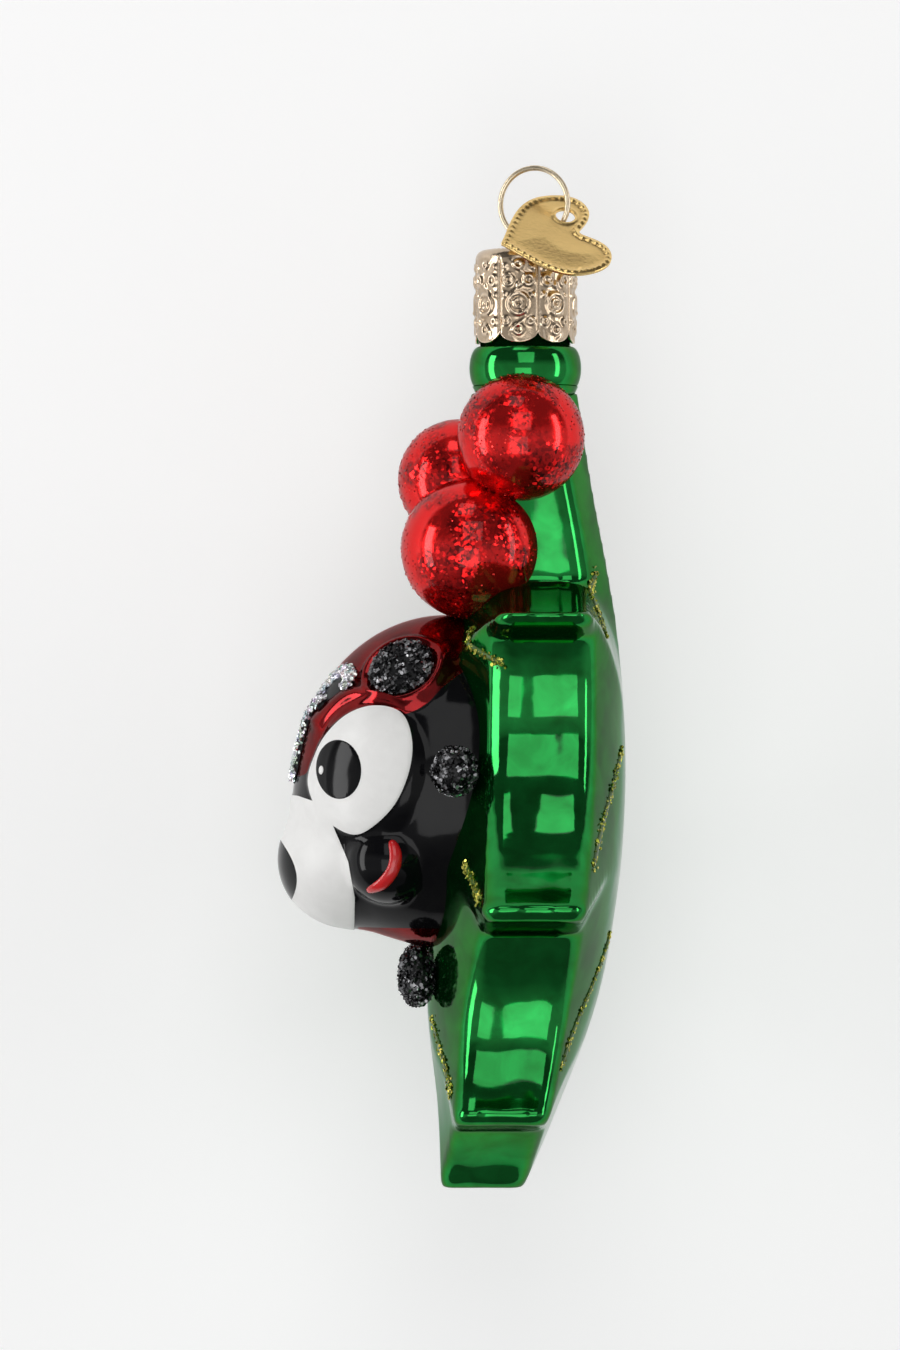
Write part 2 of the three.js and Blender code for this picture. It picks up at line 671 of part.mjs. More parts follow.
function addLeaf() {
  const ladybug = [makeHead(gap), ellipsoid(body, gap), ...limbs];
  add('holly_leaf', cut(makeLeaf(), hollow, ...ladybug, ...grown(berryForms)), paints.greenGlass);
  for (const [name, vein] of Object.entries(veins)) {
    add(`vein_${name}_left`, cut(makeVein(vein, -1), ...ladybug), paints.greenGlitter);
    add(`vein_${name}_right`, cut(makeVein(vein, 1), ...ladybug), paints.greenGlitter);
  }
}

function addBody() {
  const skin = ellipsoid(body);
  const face = [ellipsoid(head, gap), ...overFace];
  const under = [hollow, ...face, ...limbs, ellipsoid(berryForms.berry_lower, gap)];
  for (const [name, s] of Object.entries(sides)) {
    const half = new THREE.BoxGeometry(2 * far, 2 * far, 2 * far);
    half.translate(s * (far + wingSeam / 2), bodyY, leafTopZ - bodyDrop);
    const shell = join(cut(skin, makeFlanks(gap)), makeCollar(s)).intersect(solid(half));
    const wing = cut(shell, ...under, ellipsoid(spots[name], gap));
    add(`wing_case_${name}`, wing, paints.redGlass);
    add(`wing_spot_${name}`, ellipsoid(spots[name]), paints.blackGlitter);
    add(`antenna_${name}`, makeAntenna(s), paints.silverGlitter);
    add(`hand_${name}`, cut(ellipsoid(hands[name]), hollow), paints.blackGlitter);
    add(`foot_${name}`, cut(ellipsoid(feet[name]), hollow), paints.blackGlitter);
  }
  const belly = skin.intersect(block(chin, -gap));
  add('belly', cut(belly, ...under), paints.redGlass);
}

function addFace() {
  const collars = Object.values(sides).map((s) => makeCollar(s, gap));
  const spotBeds = Object.values(spots).map((spot) => ellipsoid(spot, gap));
  const head = cut(makeHead(), hollow, ...overFace, ...limbs, ...collars, ...spotBeds);
  add('head', head, paints.blackEnamel);
  add('muzzle', cut(ellipsoid(muzzle), hollow, ellipsoid(nose, gap)), paints.whiteEnamel);
  add('nose', ellipsoid(nose), paints.blackEnamel);
  for (const [name, s] of Object.entries(sides)) {
    const aroundPupil = ellipsoid(pupils[name], gap);
    const eye = cut(ellipsoid(eyes[name]), hollow, ellipsoid(muzzle, gap), aroundPupil);
    add(`eye_white_${name}`, eye, paints.whiteEnamel);
    add(`pupil_${name}`, ellipsoid(pupils[name]), paints.blackEnamel);
    add(`smile_${name}`, makeSmile(s), paints.redEnamel);
  }
}

addHanging();
addStem();
addLeaf();
addBody();
addFace();

export default ornament;
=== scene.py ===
# Ladybug ornament: the looks of a blown, silvered and lacquered glass ladybug on a holly leaf,
# with glitter berries, a stamped cap, a wire loop and a heart tag.
# Shapes are worked out in millimetres in the frame's axes and become metres in new_piece.

import math
import random

import bmesh
import bpy
import numpy as np
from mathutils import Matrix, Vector, noise
from mathutils.bvhtree import BVHTree


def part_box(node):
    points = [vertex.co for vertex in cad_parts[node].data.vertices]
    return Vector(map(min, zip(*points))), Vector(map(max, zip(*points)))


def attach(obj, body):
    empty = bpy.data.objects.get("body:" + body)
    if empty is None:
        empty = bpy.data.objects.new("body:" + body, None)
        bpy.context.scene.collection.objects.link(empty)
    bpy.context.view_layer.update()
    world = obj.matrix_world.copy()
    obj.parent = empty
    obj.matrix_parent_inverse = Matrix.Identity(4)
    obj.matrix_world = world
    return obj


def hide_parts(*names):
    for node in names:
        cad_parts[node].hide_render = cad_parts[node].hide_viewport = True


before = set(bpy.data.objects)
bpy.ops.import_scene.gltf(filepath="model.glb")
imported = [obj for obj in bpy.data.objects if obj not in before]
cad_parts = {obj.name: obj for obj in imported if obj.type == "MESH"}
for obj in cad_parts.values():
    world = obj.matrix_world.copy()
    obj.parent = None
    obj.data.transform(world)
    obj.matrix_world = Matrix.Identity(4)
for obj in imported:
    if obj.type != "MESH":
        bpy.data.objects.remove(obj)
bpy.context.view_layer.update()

MM = 0.001
LEFT_RIGHT = (("left", -1), ("right", 1))
FIGURE = "glass_figure"
HANGING = "cap_and_hanger"
TAG = "tag"


def box_mm(node):
    """The lowest and highest corner of a CAD node, in millimetres."""
    low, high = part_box(node)
    return np.array(low) / MM, np.array(high) / MM


_, leaf_high = box_mm("holly_leaf")
cap_low, cap_high = box_mm("cap")
neck_low, neck_high = box_mm("glass_neck")


# Finishes


def feed(tree, socket, value):
    """Sets a socket, or links it where the value is a socket too."""
    if isinstance(value, bpy.types.NodeSocket):
        tree.links.new(value, socket)
    else:
        socket.default_value = value


def fill(tree, node, **named):
    """Sets or links a node's inputs by their names."""
    for key, value in named.items():
        feed(tree, node.inputs[key.replace("_", " ")], value)


def add_node(tree, kind, *numbered, **named):
    """Adds a node and gives its outputs; settings have lower-case names, inputs capital ones."""
    node = tree.nodes.new("ShaderNode" + kind)
    for key in [key for key in named if key.islower()]:
        setattr(node, key, named.pop(key))
    fill(tree, node, **named)
    for socket, value in zip(node.inputs, numbered):
        feed(tree, socket, value)
    return node.outputs


def new_group(name, inputs, outputs):
    """A node group with named sockets: number inputs with defaults, outputs with kinds."""
    group = bpy.data.node_groups.new(name, "ShaderNodeTree")
    for label, default in inputs.items():
        socket = group.interface.new_socket(label, in_out="INPUT", socket_type="NodeSocketFloat")
        socket.default_value = default
    for label, kind in outputs.items():
        group.interface.new_socket(label, in_out="OUTPUT", socket_type="NodeSocket" + kind)
    return group, group.nodes.new("NodeGroupInput").outputs, group.nodes.new("NodeGroupOutput")


def lacquer_group():
    """Blown glass under lacquer: slow waves of the wall, thin and thick places, small runs."""
    sizes = {"Wave Size": 160.0, "Cloud Size": 260.0}
    group, given, out = new_group(
        "lacquer_flow", sizes, {"Height": "Float", "Thickness": "Float", "Haze": "Float"},
    )
    place = add_node(group, "TexCoord")["Object"]
    wave = add_node(group, "TexNoise", Vector=place, Scale=given["Wave Size"], Detail=1.0, Roughness=0.4)
    cloud = add_node(
        group, "TexNoise", Vector=place, Scale=given["Cloud Size"],
        Detail=3.0, Roughness=0.55, Distortion=0.6,
    )
    haze = add_node(group, "TexNoise", Vector=place, Scale=900.0, Detail=4.0)
    thin = add_node(group, "MapRange", Value=cloud["Fac"], From_Min=0.3, From_Max=0.7)
    fill(group, out, Height=wave["Fac"], Thickness=thin["Result"], Haze=haze["Fac"])
    return group


def glitter_group():
    """Fine flakes in lacquer: each cell has its own slope and brightness; the Spark paints glints and
    shade on flakes.
    """
    group, given, out = new_group(
        "glitter_cells", {"Flakes": 2600.0, "Lean": 0.5},
        {"Normal": "Vector", "Spark": "Float", "Cell Color": "Color"},
    )
    place = add_node(group, "TexCoord")["Object"]
    cells = add_node(group, "TexVoronoi", Vector=place, Scale=given["Flakes"])
    centred = add_node(group, "VectorMath", cells["Color"], (0.5, 0.5, 0.5), operation="SUBTRACT")
    leaned = add_node(group, "VectorMath", centred["Vector"], operation="SCALE", Scale=given["Lean"])
    facing = add_node(group, "NewGeometry")["Normal"]
    total = add_node(group, "VectorMath", facing, leaned["Vector"], operation="ADD")
    level = add_node(group, "VectorMath", total["Vector"], operation="NORMALIZE")
    split = add_node(group, "SeparateColor", Color=cells["Color"])
    fill(group, out, Normal=level["Vector"], Spark=split["Green"], Cell_Color=cells["Color"])
    return group


def worn_metal_group():
    """Stamped sheet: fine brush lines, small pits and a brown film in the hollows."""
    group, given, out = new_group(
        "stamped_wear", {"Grain": 1800.0}, {"Height": "Float", "Film": "Float", "Scuff": "Float"},
    )
    place = add_node(group, "TexCoord")["Object"]
    grain = add_node(group, "TexNoise", Vector=place, Scale=given["Grain"], Detail=5.0)
    film = add_node(group, "TexNoise", Vector=place, Scale=420.0, Detail=4.0, Roughness=0.65)
    hollow = add_node(group, "NewGeometry")["Pointiness"]
    low = add_node(group, "MapRange", Value=hollow, From_Min=0.44, From_Max=0.56)
    mixed = add_node(group, "Math", film["Fac"], 0.6, low["Result"], operation="MULTIPLY_ADD")
    clear = add_node(group, "MapRange", Value=mixed["Value"], From_Min=0.35, From_Max=1.2)
    fill(group, out, Height=grain["Fac"], Film=clear["Result"], Scuff=film["Fac"])
    return group


LACQUER = lacquer_group()
GLITTER = glitter_group()
WEAR = worn_metal_group()


def new_material(name):
    """An empty material, its node tree and its Principled shader."""
    material = bpy.data.materials.new(name)
    material.use_nodes = True
    return material, material.node_tree, material.node_tree.nodes["Principled BSDF"]


def shade_mix(tree, factor, low, high):
    """A colour between two, by a factor from 0 to 1."""
    mix = add_node(tree, "Mix", data_type="RGBA", Factor=factor, A=(*low, 1), B=(*high, 1))
    return mix["Result"]


def ranged(tree, factor, low, high):
    """A factor from 0 to 1 brought between two numbers."""
    return add_node(tree, "MapRange", Value=factor, To_Min=low, To_Max=high)["Result"]


def bumped(tree, height, strength, distance):
    """A surface's slopes from heights; the distance is in metres."""
    return add_node(tree, "Bump", Height=height, Strength=strength, Distance=distance)["Normal"]


def lacquered_glass(name, thin, thick, tint, coat):
    """Silvered glass under coloured lacquer, with a clear gloss over it."""
    material, tree, shader = new_material(name)
    flow = add_node(tree, "Group", node_tree=LACQUER, Wave_Size=150.0, Cloud_Size=240.0)
    fill(
        tree, shader,
        Base_Color=shade_mix(tree, flow["Thickness"], thick, thin),
        Roughness=ranged(tree, flow["Haze"], 0.05, 0.12),
        Normal=bumped(tree, flow["Height"], 0.35, 0.0004),
        Metallic=0.95,
        Specular_Tint=(*tint, 1),
        Coat_Weight=coat,
        Coat_Roughness=0.03,
    )
    return material


def enamel(name, thin, thick, rough, gloss, coat=0.0):
    """Thick glossy paint, a little uneven under the brush."""
    material, tree, shader = new_material(name)
    flow = add_node(tree, "Group", node_tree=LACQUER, Wave_Size=240.0, Cloud_Size=420.0)
    fill(
        tree, shader,
        Base_Color=shade_mix(tree, flow["Thickness"], thick, thin),
        Roughness=ranged(tree, flow["Haze"], rough, rough + 0.08),
        Normal=bumped(tree, flow["Height"], 0.3, 0.0003),
        Specular_IOR_Level=gloss,
        Coat_Weight=coat,
        Coat_Roughness=0.05,
    )
    return material


def flake_finish(name, dark, light, rare):
    """Loose metal flakes: each of them has its own shade, and the rare bright ones are painted glints."""
    material, tree, shader = new_material(name)
    cells = add_node(tree, "Group", node_tree=GLITTER, Flakes=1400.0, Lean=0.25)
    # Painted glints: the rare bright flakes get a light colour that stands for light caught on them.
    bright = add_node(tree, "Math", cells["Spark"], rare, operation="POWER")["Value"]
    fill(
        tree, shader,
        Base_Color=shade_mix(tree, bright, dark, light),
        Roughness=ranged(tree, cells["Spark"], 0.2, 0.35),
        Metallic=0.9,
    )
    return material


def iridescent_flakes(name):
    """Silver flakes that break the light into pale colours."""
    material, tree, shader = new_material(name)
    cells = add_node(tree, "Group", node_tree=GLITTER, Flakes=1500.0, Lean=0.3)
    pale = add_node(tree, "HueSaturation", Color=cells["Cell Color"], Saturation=0.55, Value=1.0)
    silver = (0.74, 0.77, 0.79, 1)
    mix = add_node(tree, "Mix", data_type="RGBA", Factor=0.28, A=silver, B=pale["Color"])
    fill(tree, shader, Base_Color=mix["Result"], Roughness=0.22, Metallic=0.9)
    return material


def glittered_glass(name):
    """Silvered red glass under gloss lacquer, with fine red glitter in drifts; its unlit flakes get
    painted shade.
    """
    material, tree, shader = new_material(name)
    place = add_node(tree, "TexCoord")["Object"]
    drift = add_node(tree, "TexNoise", Vector=place, Scale=170.0, Detail=2.0)["Fac"]
    gathered = add_node(tree, "MapRange", Value=drift, From_Min=0.42, From_Max=0.55)["Result"]
    lean = ranged(tree, gathered, 0.015, 0.42)
    cells = add_node(tree, "Group", node_tree=GLITTER, Flakes=2600.0, Lean=lean)
    # Painted shade: in the drifts the flakes that the light misses are painted dark red, the others stay
    # bright red.
    unlit = add_node(tree, "Math", 1.0, cells["Spark"], operation="SUBTRACT")["Value"]
    dark = add_node(tree, "Math", gathered, unlit, operation="MULTIPLY")["Value"]
    fill(
        tree, shader,
        Base_Color=shade_mix(tree, dark, (0.78, 0.014, 0.014), (0.12, 0.001, 0.002)),
        Roughness=ranged(tree, cells["Spark"], 0.24, 0.12),
        Normal=cells["Normal"],
        Metallic=0.85,
        Specular_Tint=(0.5, 0.06, 0.06, 1),
        Coat_Weight=0.35,
        Coat_Roughness=0.04,
    )
    return material


def stamped_metal(name, film, clean, rough):
    """Thin plated sheet or wire: bright where it is rubbed, browner in the hollows."""
    material, tree, shader = new_material(name)
    wear = add_node(tree, "Group", node_tree=WEAR, Grain=2200.0)
    fill(
        tree, shader,
        Base_Color=shade_mix(tree, wear["Film"], film, clean),
        Roughness=ranged(tree, wear["Scuff"], *rough),
        Normal=bumped(tree, wear["Height"], 0.25, 0.00008),
        Metallic=1.0,
    )
    return material


# Lacquers and enamels: the thin colour, then the thick one; flakes and metals: dark, then light
MATERIALS = {
    "green_glass": lacquered_glass(
        "green_lacquer", (0.008, 0.27, 0.045), (0.003, 0.15, 0.02), (0.05, 0.3, 0.11), 0.3,
    ),
    "red_glass": lacquered_glass(
        "red_lacquer", (0.27, 0.006, 0.008), (0.12, 0.002, 0.003), (0.35, 0.04, 0.04), 0.25,
    ),
    "berry_glass": glittered_glass("berry_lacquer"),
    "black_enamel": enamel(
        "black_enamel", (0.004, 0.004, 0.0045), (0.002, 0.002, 0.003), 0.05, 0.17,
    ),
    "white_enamel": enamel("white_enamel", (0.86, 0.855, 0.84), (0.81, 0.805, 0.79), 0.3, 0.4),
    "red_enamel": enamel("red_enamel", (0.66, 0.012, 0.015), (0.5, 0.008, 0.01), 0.16, 0.5, 0.3),
    "glue_dark": enamel("dark_glue", (0.004, 0.004, 0.005), (0.003, 0.003, 0.004), 0.35, 0.3),
    "glue_clear": enamel("green_glue", (0.05, 0.12, 0.015), (0.03, 0.08, 0.01), 0.3, 0.4),
    "black_glitter": flake_finish("black_glitter", (0.006, 0.006, 0.007), (0.5, 0.5, 0.52), 3.0),
    "red_glitter": flake_finish("red_glitter", (0.3, 0.004, 0.006), (0.9, 0.05, 0.04), 1.5),
    "green_glitter": flake_finish(
        "gold_green_glitter", (0.16, 0.22, 0.012), (0.85, 0.75, 0.16), 2.0,
    ),
    "silver_glitter": iridescent_flakes("silver_glitter"),
    "cap_metal": stamped_metal(
        "champagne_plate", (0.25, 0.17, 0.1), (0.72, 0.58, 0.43), (0.1, 0.26),
    ),
    "wire_metal": stamped_metal(
        "antique_wire", (0.34, 0.26, 0.16), (0.78, 0.66, 0.48), (0.18, 0.36),
    ),
    "tag_metal": stamped_metal("gold_plate", (0.56, 0.36, 0.13), (0.9, 0.64, 0.26), (0.16, 0.3)),
}


# Pieces and meshes


def new_piece(name, points, faces, normals=None):
    """A smooth mesh object from points in millimetres; normals, if given, one for each corner."""
    mesh = bpy.data.meshes.new(name)
    mesh.from_pydata((np.asarray(points) * MM).tolist(), [], faces)
    mesh.update()
    mesh.shade_smooth()
    if normals is not None:
        mesh.normals_split_custom_set(np.asarray(normals).tolist())
    piece = bpy.data.objects.new(name, mesh)
    bpy.context.scene.collection.objects.link(piece)
    return piece


def finish_piece(piece, body, slot, *nodes, material=None):
    """Gives a piece its finish, its body and the CAD nodes that it stands for."""
    piece.data.materials.append(MATERIALS[material or slot])
    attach(piece, body)
    if nodes:
        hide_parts(*nodes)
    return piece


def merge_doubles(piece):
    """Joins the points that lie on each other and turns every face outwards."""
    work = bmesh.new()
    work.from_mesh(piece.data)
    bmesh.ops.remove_doubles(work, verts=work.verts, dist=0.01 * MM)
    bmesh.ops.recalc_face_normals(work, faces=work.faces)
    work.to_mesh(piece.data)
    work.free()


def remeshed(points, faces, voxel, smoothing):
    """Even quads over a closed mesh, joined where it crosses itself, and softened."""
    mesh = bpy.data.meshes.new("blank")
    mesh.from_pydata(np.asarray(points).tolist(), [], faces)
    blank = bpy.data.objects.new("blank", mesh)
    bpy.context.scene.collection.objects.link(blank)
    remesh = blank.modifiers.new("remesh", "REMESH")
    remesh.mode = "VOXEL"
    remesh.voxel_size = voxel
    soften = blank.modifiers.new("soften", "SMOOTH")
    soften.factor = 0.5
    soften.iterations = smoothing
    made = blank.evaluated_get(bpy.context.evaluated_depsgraph_get()).to_mesh()
    corners = np.zeros(len(made.vertices) * 3, np.float32)
    made.vertices.foreach_get("co", corners)
    rings = [tuple(face.vertices) for face in made.polygons]
    bpy.data.objects.remove(blank)
    bpy.data.meshes.remove(mesh)
    return corners.reshape(-1, 3).astype(float), rings


def tree_of(*pieces):
    """A target for rays and nearest places on pieces, in millimetres."""
    points, faces = joined(*(
        ([v.co / MM for v in piece.data.vertices], [tuple(p.vertices) for p in piece.data.polygons])
        for piece in pieces
    ))
    return BVHTree.FromPolygons(points, faces)


def nearest_on(tree, place):
    """The nearest place on a tree's surface and the way out there."""
    hit, normal, _, _ = tree.find_nearest(Vector(place))
    return np.array(hit), np.array(normal)


def joined(*parts):
    """Several lots of points and faces as one."""
    points, faces = [], []
    for own, rings in parts:
        shift = len(points)
        points += [tuple(p) for p in own]
        faces += [tuple(i + shift for i in ring) for ring in rings]
    return points, faces


def triangles(faces):
    """Faces cut into triangles, as an array."""
    made = []
    for face in faces:
        made.extend((face[0], face[i], face[i + 1]) for i in range(1, len(face) - 1))
    return np.array(made)


def unit(vectors):
    """Vectors, one a row, at length 1."""
    vectors = np.asarray(vectors, float)
    return vectors / np.maximum(np.linalg.norm(vectors, axis=-1, keepdims=True), 1e-12)


def corner_normals(points, tris):
    """The way out of a skin at each point."""
    a, b, c = (points[tris[:, i]] for i in range(3))
    facing = np.cross(b - a, c - a)
    total = np.zeros_like(points)
    for i in range(3):
        np.add.at(total, tris[:, i], facing)
    return unit(total)


def level_ring(radius, height, around):
    """Points round a circle, whose radius and height may differ from point to point."""
    angle = np.linspace(0, 2 * math.pi, around, endpoint=False)
    x, y = radius * np.cos(angle), radius * np.sin(angle)
    return np.stack([x, y, np.broadcast_to(height, around)], axis=-1)


def ring_faces(rows, around):
    """Faces between rows of points that each close on themselves."""
    faces = []
    for start in range(0, (rows - 1) * around, around):
        for i in range(around):
            j = (i + 1) % around
            faces.append((start + i, start + j, start + around + j, start + around + i))
    return faces


def loft(rings):
    """Points and faces of a skin through rings of equal count, with its two ends closed."""
    count = len(rings[0])
    faces = ring_faces(len(rings), count)
    faces.append(tuple(reversed(range(count))))
    faces.append(tuple(range((len(rings) - 1) * count, len(rings) * count)))
    return np.concatenate(rings), faces


def sheet_faces(tris, count):
    """Faces of a sheet that has its points again underneath, and the edges of its rim."""
    edges = np.concatenate([tris[:, [0, 1]], tris[:, [1, 2]], tris[:, [2, 0]]])
    keys = np.sort(edges, axis=1)
    _, first, uses = np.unique(keys, axis=0, return_index=True, return_counts=True)
    rim = edges[first[uses == 1]]
    faces = [tuple(t) for t in tris.tolist()]
    faces += [(c + count, b + count, a + count) for a, b, c in tris.tolist()]
    faces += [(b, a, a + count, b + count) for a, b in rim.tolist()]
    return faces, rim


def divided(columns, tris, values):
    """A triangle mesh cut along where values are 0: the part above and the part below."""
    above = values > 0
    counts = above[tris].sum(axis=1)
    rows = [columns]
    made = {}

    def crossing(a, b):
        key = (min(a, b), max(a, b))
        if key not in made:
            t = values[key[0]] / (values[key[0]] - values[key[1]])
            rows.append((columns[key[0]] * (1 - t) + columns[key[1]] * t)[None])
            made[key] = len(columns) + len(made)
        return made[key]

    kept = {True: [tris[counts == 3]], False: [tris[counts == 0]]}
    for tri in tris[(counts > 0) & (counts < 3)]:
        lone = above[tri].sum() == 1
        at = int(np.argmax(above[tri] == lone))
        a, b, c = (int(tri[(at + i) % 3]) for i in range(3))
        ab, ac = crossing(a, b), crossing(a, c)
        kept[bool(lone)].append(np.array([(a, ab, ac)]))
        kept[not lone].append(np.array([(ab, b, c), (ab, c, ac)]))
    everything = np.concatenate(rows)
    parts = []
    for side in (True, False):
        used, index = np.unique(np.concatenate(kept[side]), return_inverse=True)
        parts.append((everything[used], index.reshape(-1, 3)))
    return parts


# Curves and distances


def smooth_step(low, high, value):
    """0 at low, 1 at high, and a soft change between."""
    t = np.clip((value - low) / (high - low), 0, 1)
    return t * t * (3 - 2 * t)


def bell(away, width):
    """1 at no distance, and less and less on both sides."""
    return np.exp(-((away / width) ** 2))


def run_along(line):
    """How far along a line each of its points lies."""
    return np.concatenate([[0], np.cumsum(np.linalg.norm(np.diff(line, axis=0), axis=1))])


def soft_loop(points, steps=10, closed=True):
    """A smooth curve through a few chosen points."""
    points = np.array(points, float)
    before, after = (points[-1:], points[:2]) if closed else (points[:1], points[-1:])
    stops = np.concatenate([before, points, after])
    t = (np.arange(steps) / steps)[:, None]
    made = []
    for a, b, c, d in zip(stops, stops[1:], stops[2:], stops[3:]):
        part = 2 * b + (c - a) * t + (2 * a - 5 * b + 4 * c - d) * t ** 2
        made.append((part + (3 * b - a - 3 * c + d) * t ** 3) / 2)
    if not closed:
        made.append(points[-1:])
    return np.concatenate(made)


def distance_to_line(places, line):
    """How far flat places are from a line of points."""
    nearest = np.full(len(places), np.inf)
    for start, end in zip(line, line[1:]):
        along = end - start
        t = np.clip(((places - start) @ along) / max(along @ along, 1e-12), 0, 1)
        nearest = np.minimum(nearest, np.linalg.norm(places - start - t[:, None] * along, axis=-1))
    return nearest


def inside_outline(places, outline):
    """Distance to a closed outline, above 0 inside it."""
    outline = np.concatenate([outline, outline[:1]])
    crossings = np.zeros(len(places), int)
    for start, end in zip(outline, outline[1:]):
        spans = (start[1] > places[:, 1]) != (end[1] > places[:, 1])
        rise = (end[1] - start[1]) or 1e-9
        level = start[0] + (places[:, 1] - start[1]) * (end[0] - start[0]) / rise
        crossings += spans & (places[:, 0] < level)
    return np.where(crossings % 2 == 1, 1.0, -1.0) * distance_to_line(places, outline)


def distance_to_oval(places, semi):
    """About how far places are outside an oval or ellipsoid about the origin."""
    share = np.linalg.norm(places / semi, axis=-1)
    slope = np.linalg.norm(places / semi ** 2, axis=-1)
    return share * (share - 1) / np.maximum(slope, 1e-9)


def settled(points, field, turns=5, step=0.01):
    """Points brought onto the surface where a field is zero."""
    for _ in range(turns):
        value = field(points)
        slopes = [field(points + nudge) - field(points - nudge) for nudge in np.eye(3) * step]
        slope = np.stack(slopes, axis=-1) / (2 * step)
        points = points - slope * (value / np.maximum((slope ** 2).sum(-1), 1e-6))[:, None]
    return points


# Holly leaf: the solid's rows, made finer, with a throat that leaves the lowest berry in view

STEM_RUN, SHOULDER_RUN, WAIST_RUN, TIP_RUN = 26.4, 32.9, 23.5, 8.4
STEM_HALF, THROAT_HALF, TIP_HALF = 6.4, 6.2, 5.5
UPPER_SPIKE, MIDDLE_SPIKE, LOWER_SPIKE = 24.0, 32.0, 20.0
LEAF_LENGTH = STEM_RUN + SHOULDER_RUN + WAIST_RUN + TIP_RUN
LEAF_ROWS = (
    # drop, rim middle, rim breadth, front pillow, back pillow, half width, corner, undercut, sag
    (0, -1.2, 5.0, 3.8, 3.8, STEM_HALF, 0, 0, 0),
    (0.38 * STEM_RUN, -0.2, 7.6, 3.8, 3.0, None, 0, 0, 0),
    (0.83 * STEM_RUN, 0.85, 9.5, 5.0, 3.2, THROAT_HALF, 0, 0, 0),
    (STEM_RUN, 1.0, 9.8, 6.0, 3.6, UPPER_SPIKE, 4.5, 2, 1.5),
    (STEM_RUN + 0.55 * SHOULDER_RUN, 0.7, 10.7, 6.5, 4.5, None, 0, 0, 0),
    (STEM_RUN + SHOULDER_RUN, -0.2, 10.5, 6.3, 4.3, MIDDLE_SPIKE, 11, 2.2, 7),
    (LEAF_LENGTH - TIP_RUN - 0.54 * WAIST_RUN, -2.1, 10.6, 4.9, 4.0, None, 0, 0, 0),
    (LEAF_LENGTH - TIP_RUN, -3.9, 10.3, 2.0, 1.2, LOWER_SPIKE, 7.5, 1.3, 4),
    (LEAF_LENGTH, -6.0, 9.2, 0.1, 0.1, TIP_HALF, 0, 0, 1),
)
ROW_DROPS = np.array([row[0] for row in LEAF_ROWS])
RIM_MIDDLE, RIM_BREADTH, FRONT_PILLOW, BACK_PILLOW = 1, 2, 3, 4
BEND_STEPS = 14
SPIKE_ROUND = 0.9
RIM_ROUND, RIM_DISH = 1.3, 0.35
RIM_STEPS, FACE_STEPS = 18, 72
PILLOW_REACH = 20.0
LEAF_TOP = leaf_high[2]
LEAF_STEP, LEAF_VOXEL, LEAF_SOFTENING = 0.45, 0.36, 14


def bent(start, middle, end):
    """Points of a quadratic curve after its start."""
    t = np.linspace(0, 1, BEND_STEPS + 1)[1:, None]
    start, middle, end = (np.array(p, float) for p in (start, middle, end))
    return list(start * (1 - t) ** 2 + middle * 2 * t * (1 - t) + end * t * t)


def leaf_edge():
    """Half widths against drops: stem, three spikes with a hollow edge above each, the end."""
    corner = (STEM_HALF, 0.0)
    edge = [corner]
    for drop, *_, half, notch, undercut, sag in LEAF_ROWS[1:]:
        if half is None:
            continue
        level = (corner[1] + drop) / 2
        if sag:
            middle = ((corner[0] + half) / 2 - 2 * sag, level)
            edge += bent(corner, middle, (half, drop - SPIKE_ROUND))
        else:
            edge += bent(corner, (corner[0], level), (half, drop))
        corner = (half - notch, drop + undercut)
        if undercut:
            edge += [(half - SPIKE_ROUND, drop + undercut / 4), corner]
    edge.append((corner[0] - SPIKE_ROUND, LEAF_LENGTH))
    return np.array(edge)


LEAF_EDGE = leaf_edge()


def row_curve(column, drop):
    """A soft curve through one column of the leaf's rows."""
    values = np.array([row[column] for row in LEAF_ROWS], float)
    secants = np.diff(values) / np.diff(ROW_DROPS)
    slopes = np.concatenate(([secants[0]], (secants[1:] + secants[:-1]) / 2, [secants[-1]]))
    drop = np.clip(drop, 0, LEAF_LENGTH)
    i = np.clip(np.searchsorted(ROW_DROPS, drop, side="right") - 1, 0, len(ROW_DROPS) - 2)
    span = ROW_DROPS[i + 1] - ROW_DROPS[i]
    t = (drop - ROW_DROPS[i]) / span
    start = values[i] * (1 + 2 * t) * (1 - t) ** 2 + slopes[i] * span * t * (1 - t) ** 2
    return start + values[i + 1] * t * t * (3 - 2 * t) + slopes[i + 1] * span * t * t * (t - 1)


def edge_swell(aside, drop):
    """0 at the leaf's edge, and 1 where it is far enough from it."""
    aside, drop = np.broadcast_arrays(np.abs(aside).astype(float), np.asarray(drop, float))
    places = np.stack([aside.ravel(), drop.ravel()], axis=-1)
    nearest = distance_to_line(places, LEAF_EDGE).reshape(aside.shape)
    nearest = np.maximum(np.minimum(nearest, LEAF_LENGTH - drop), 0)
    return 1 - (1 - np.minimum(nearest / PILLOW_REACH, 1)) ** 2


def leaf_face(side, aside, drop):
    """Y of the leaf's front (-1) or back (+1) face."""
    share = np.minimum(edge_swell(aside, drop) / np.maximum(edge_swell(0.0, drop), 1e-6), 1)
    crown = row_curve(FRONT_PILLOW if side < 0 else BACK_PILLOW, drop) * share
    return row_curve(RIM_MIDDLE, drop) + side * (row_curve(RIM_BREADTH, drop) / 2 + crown)


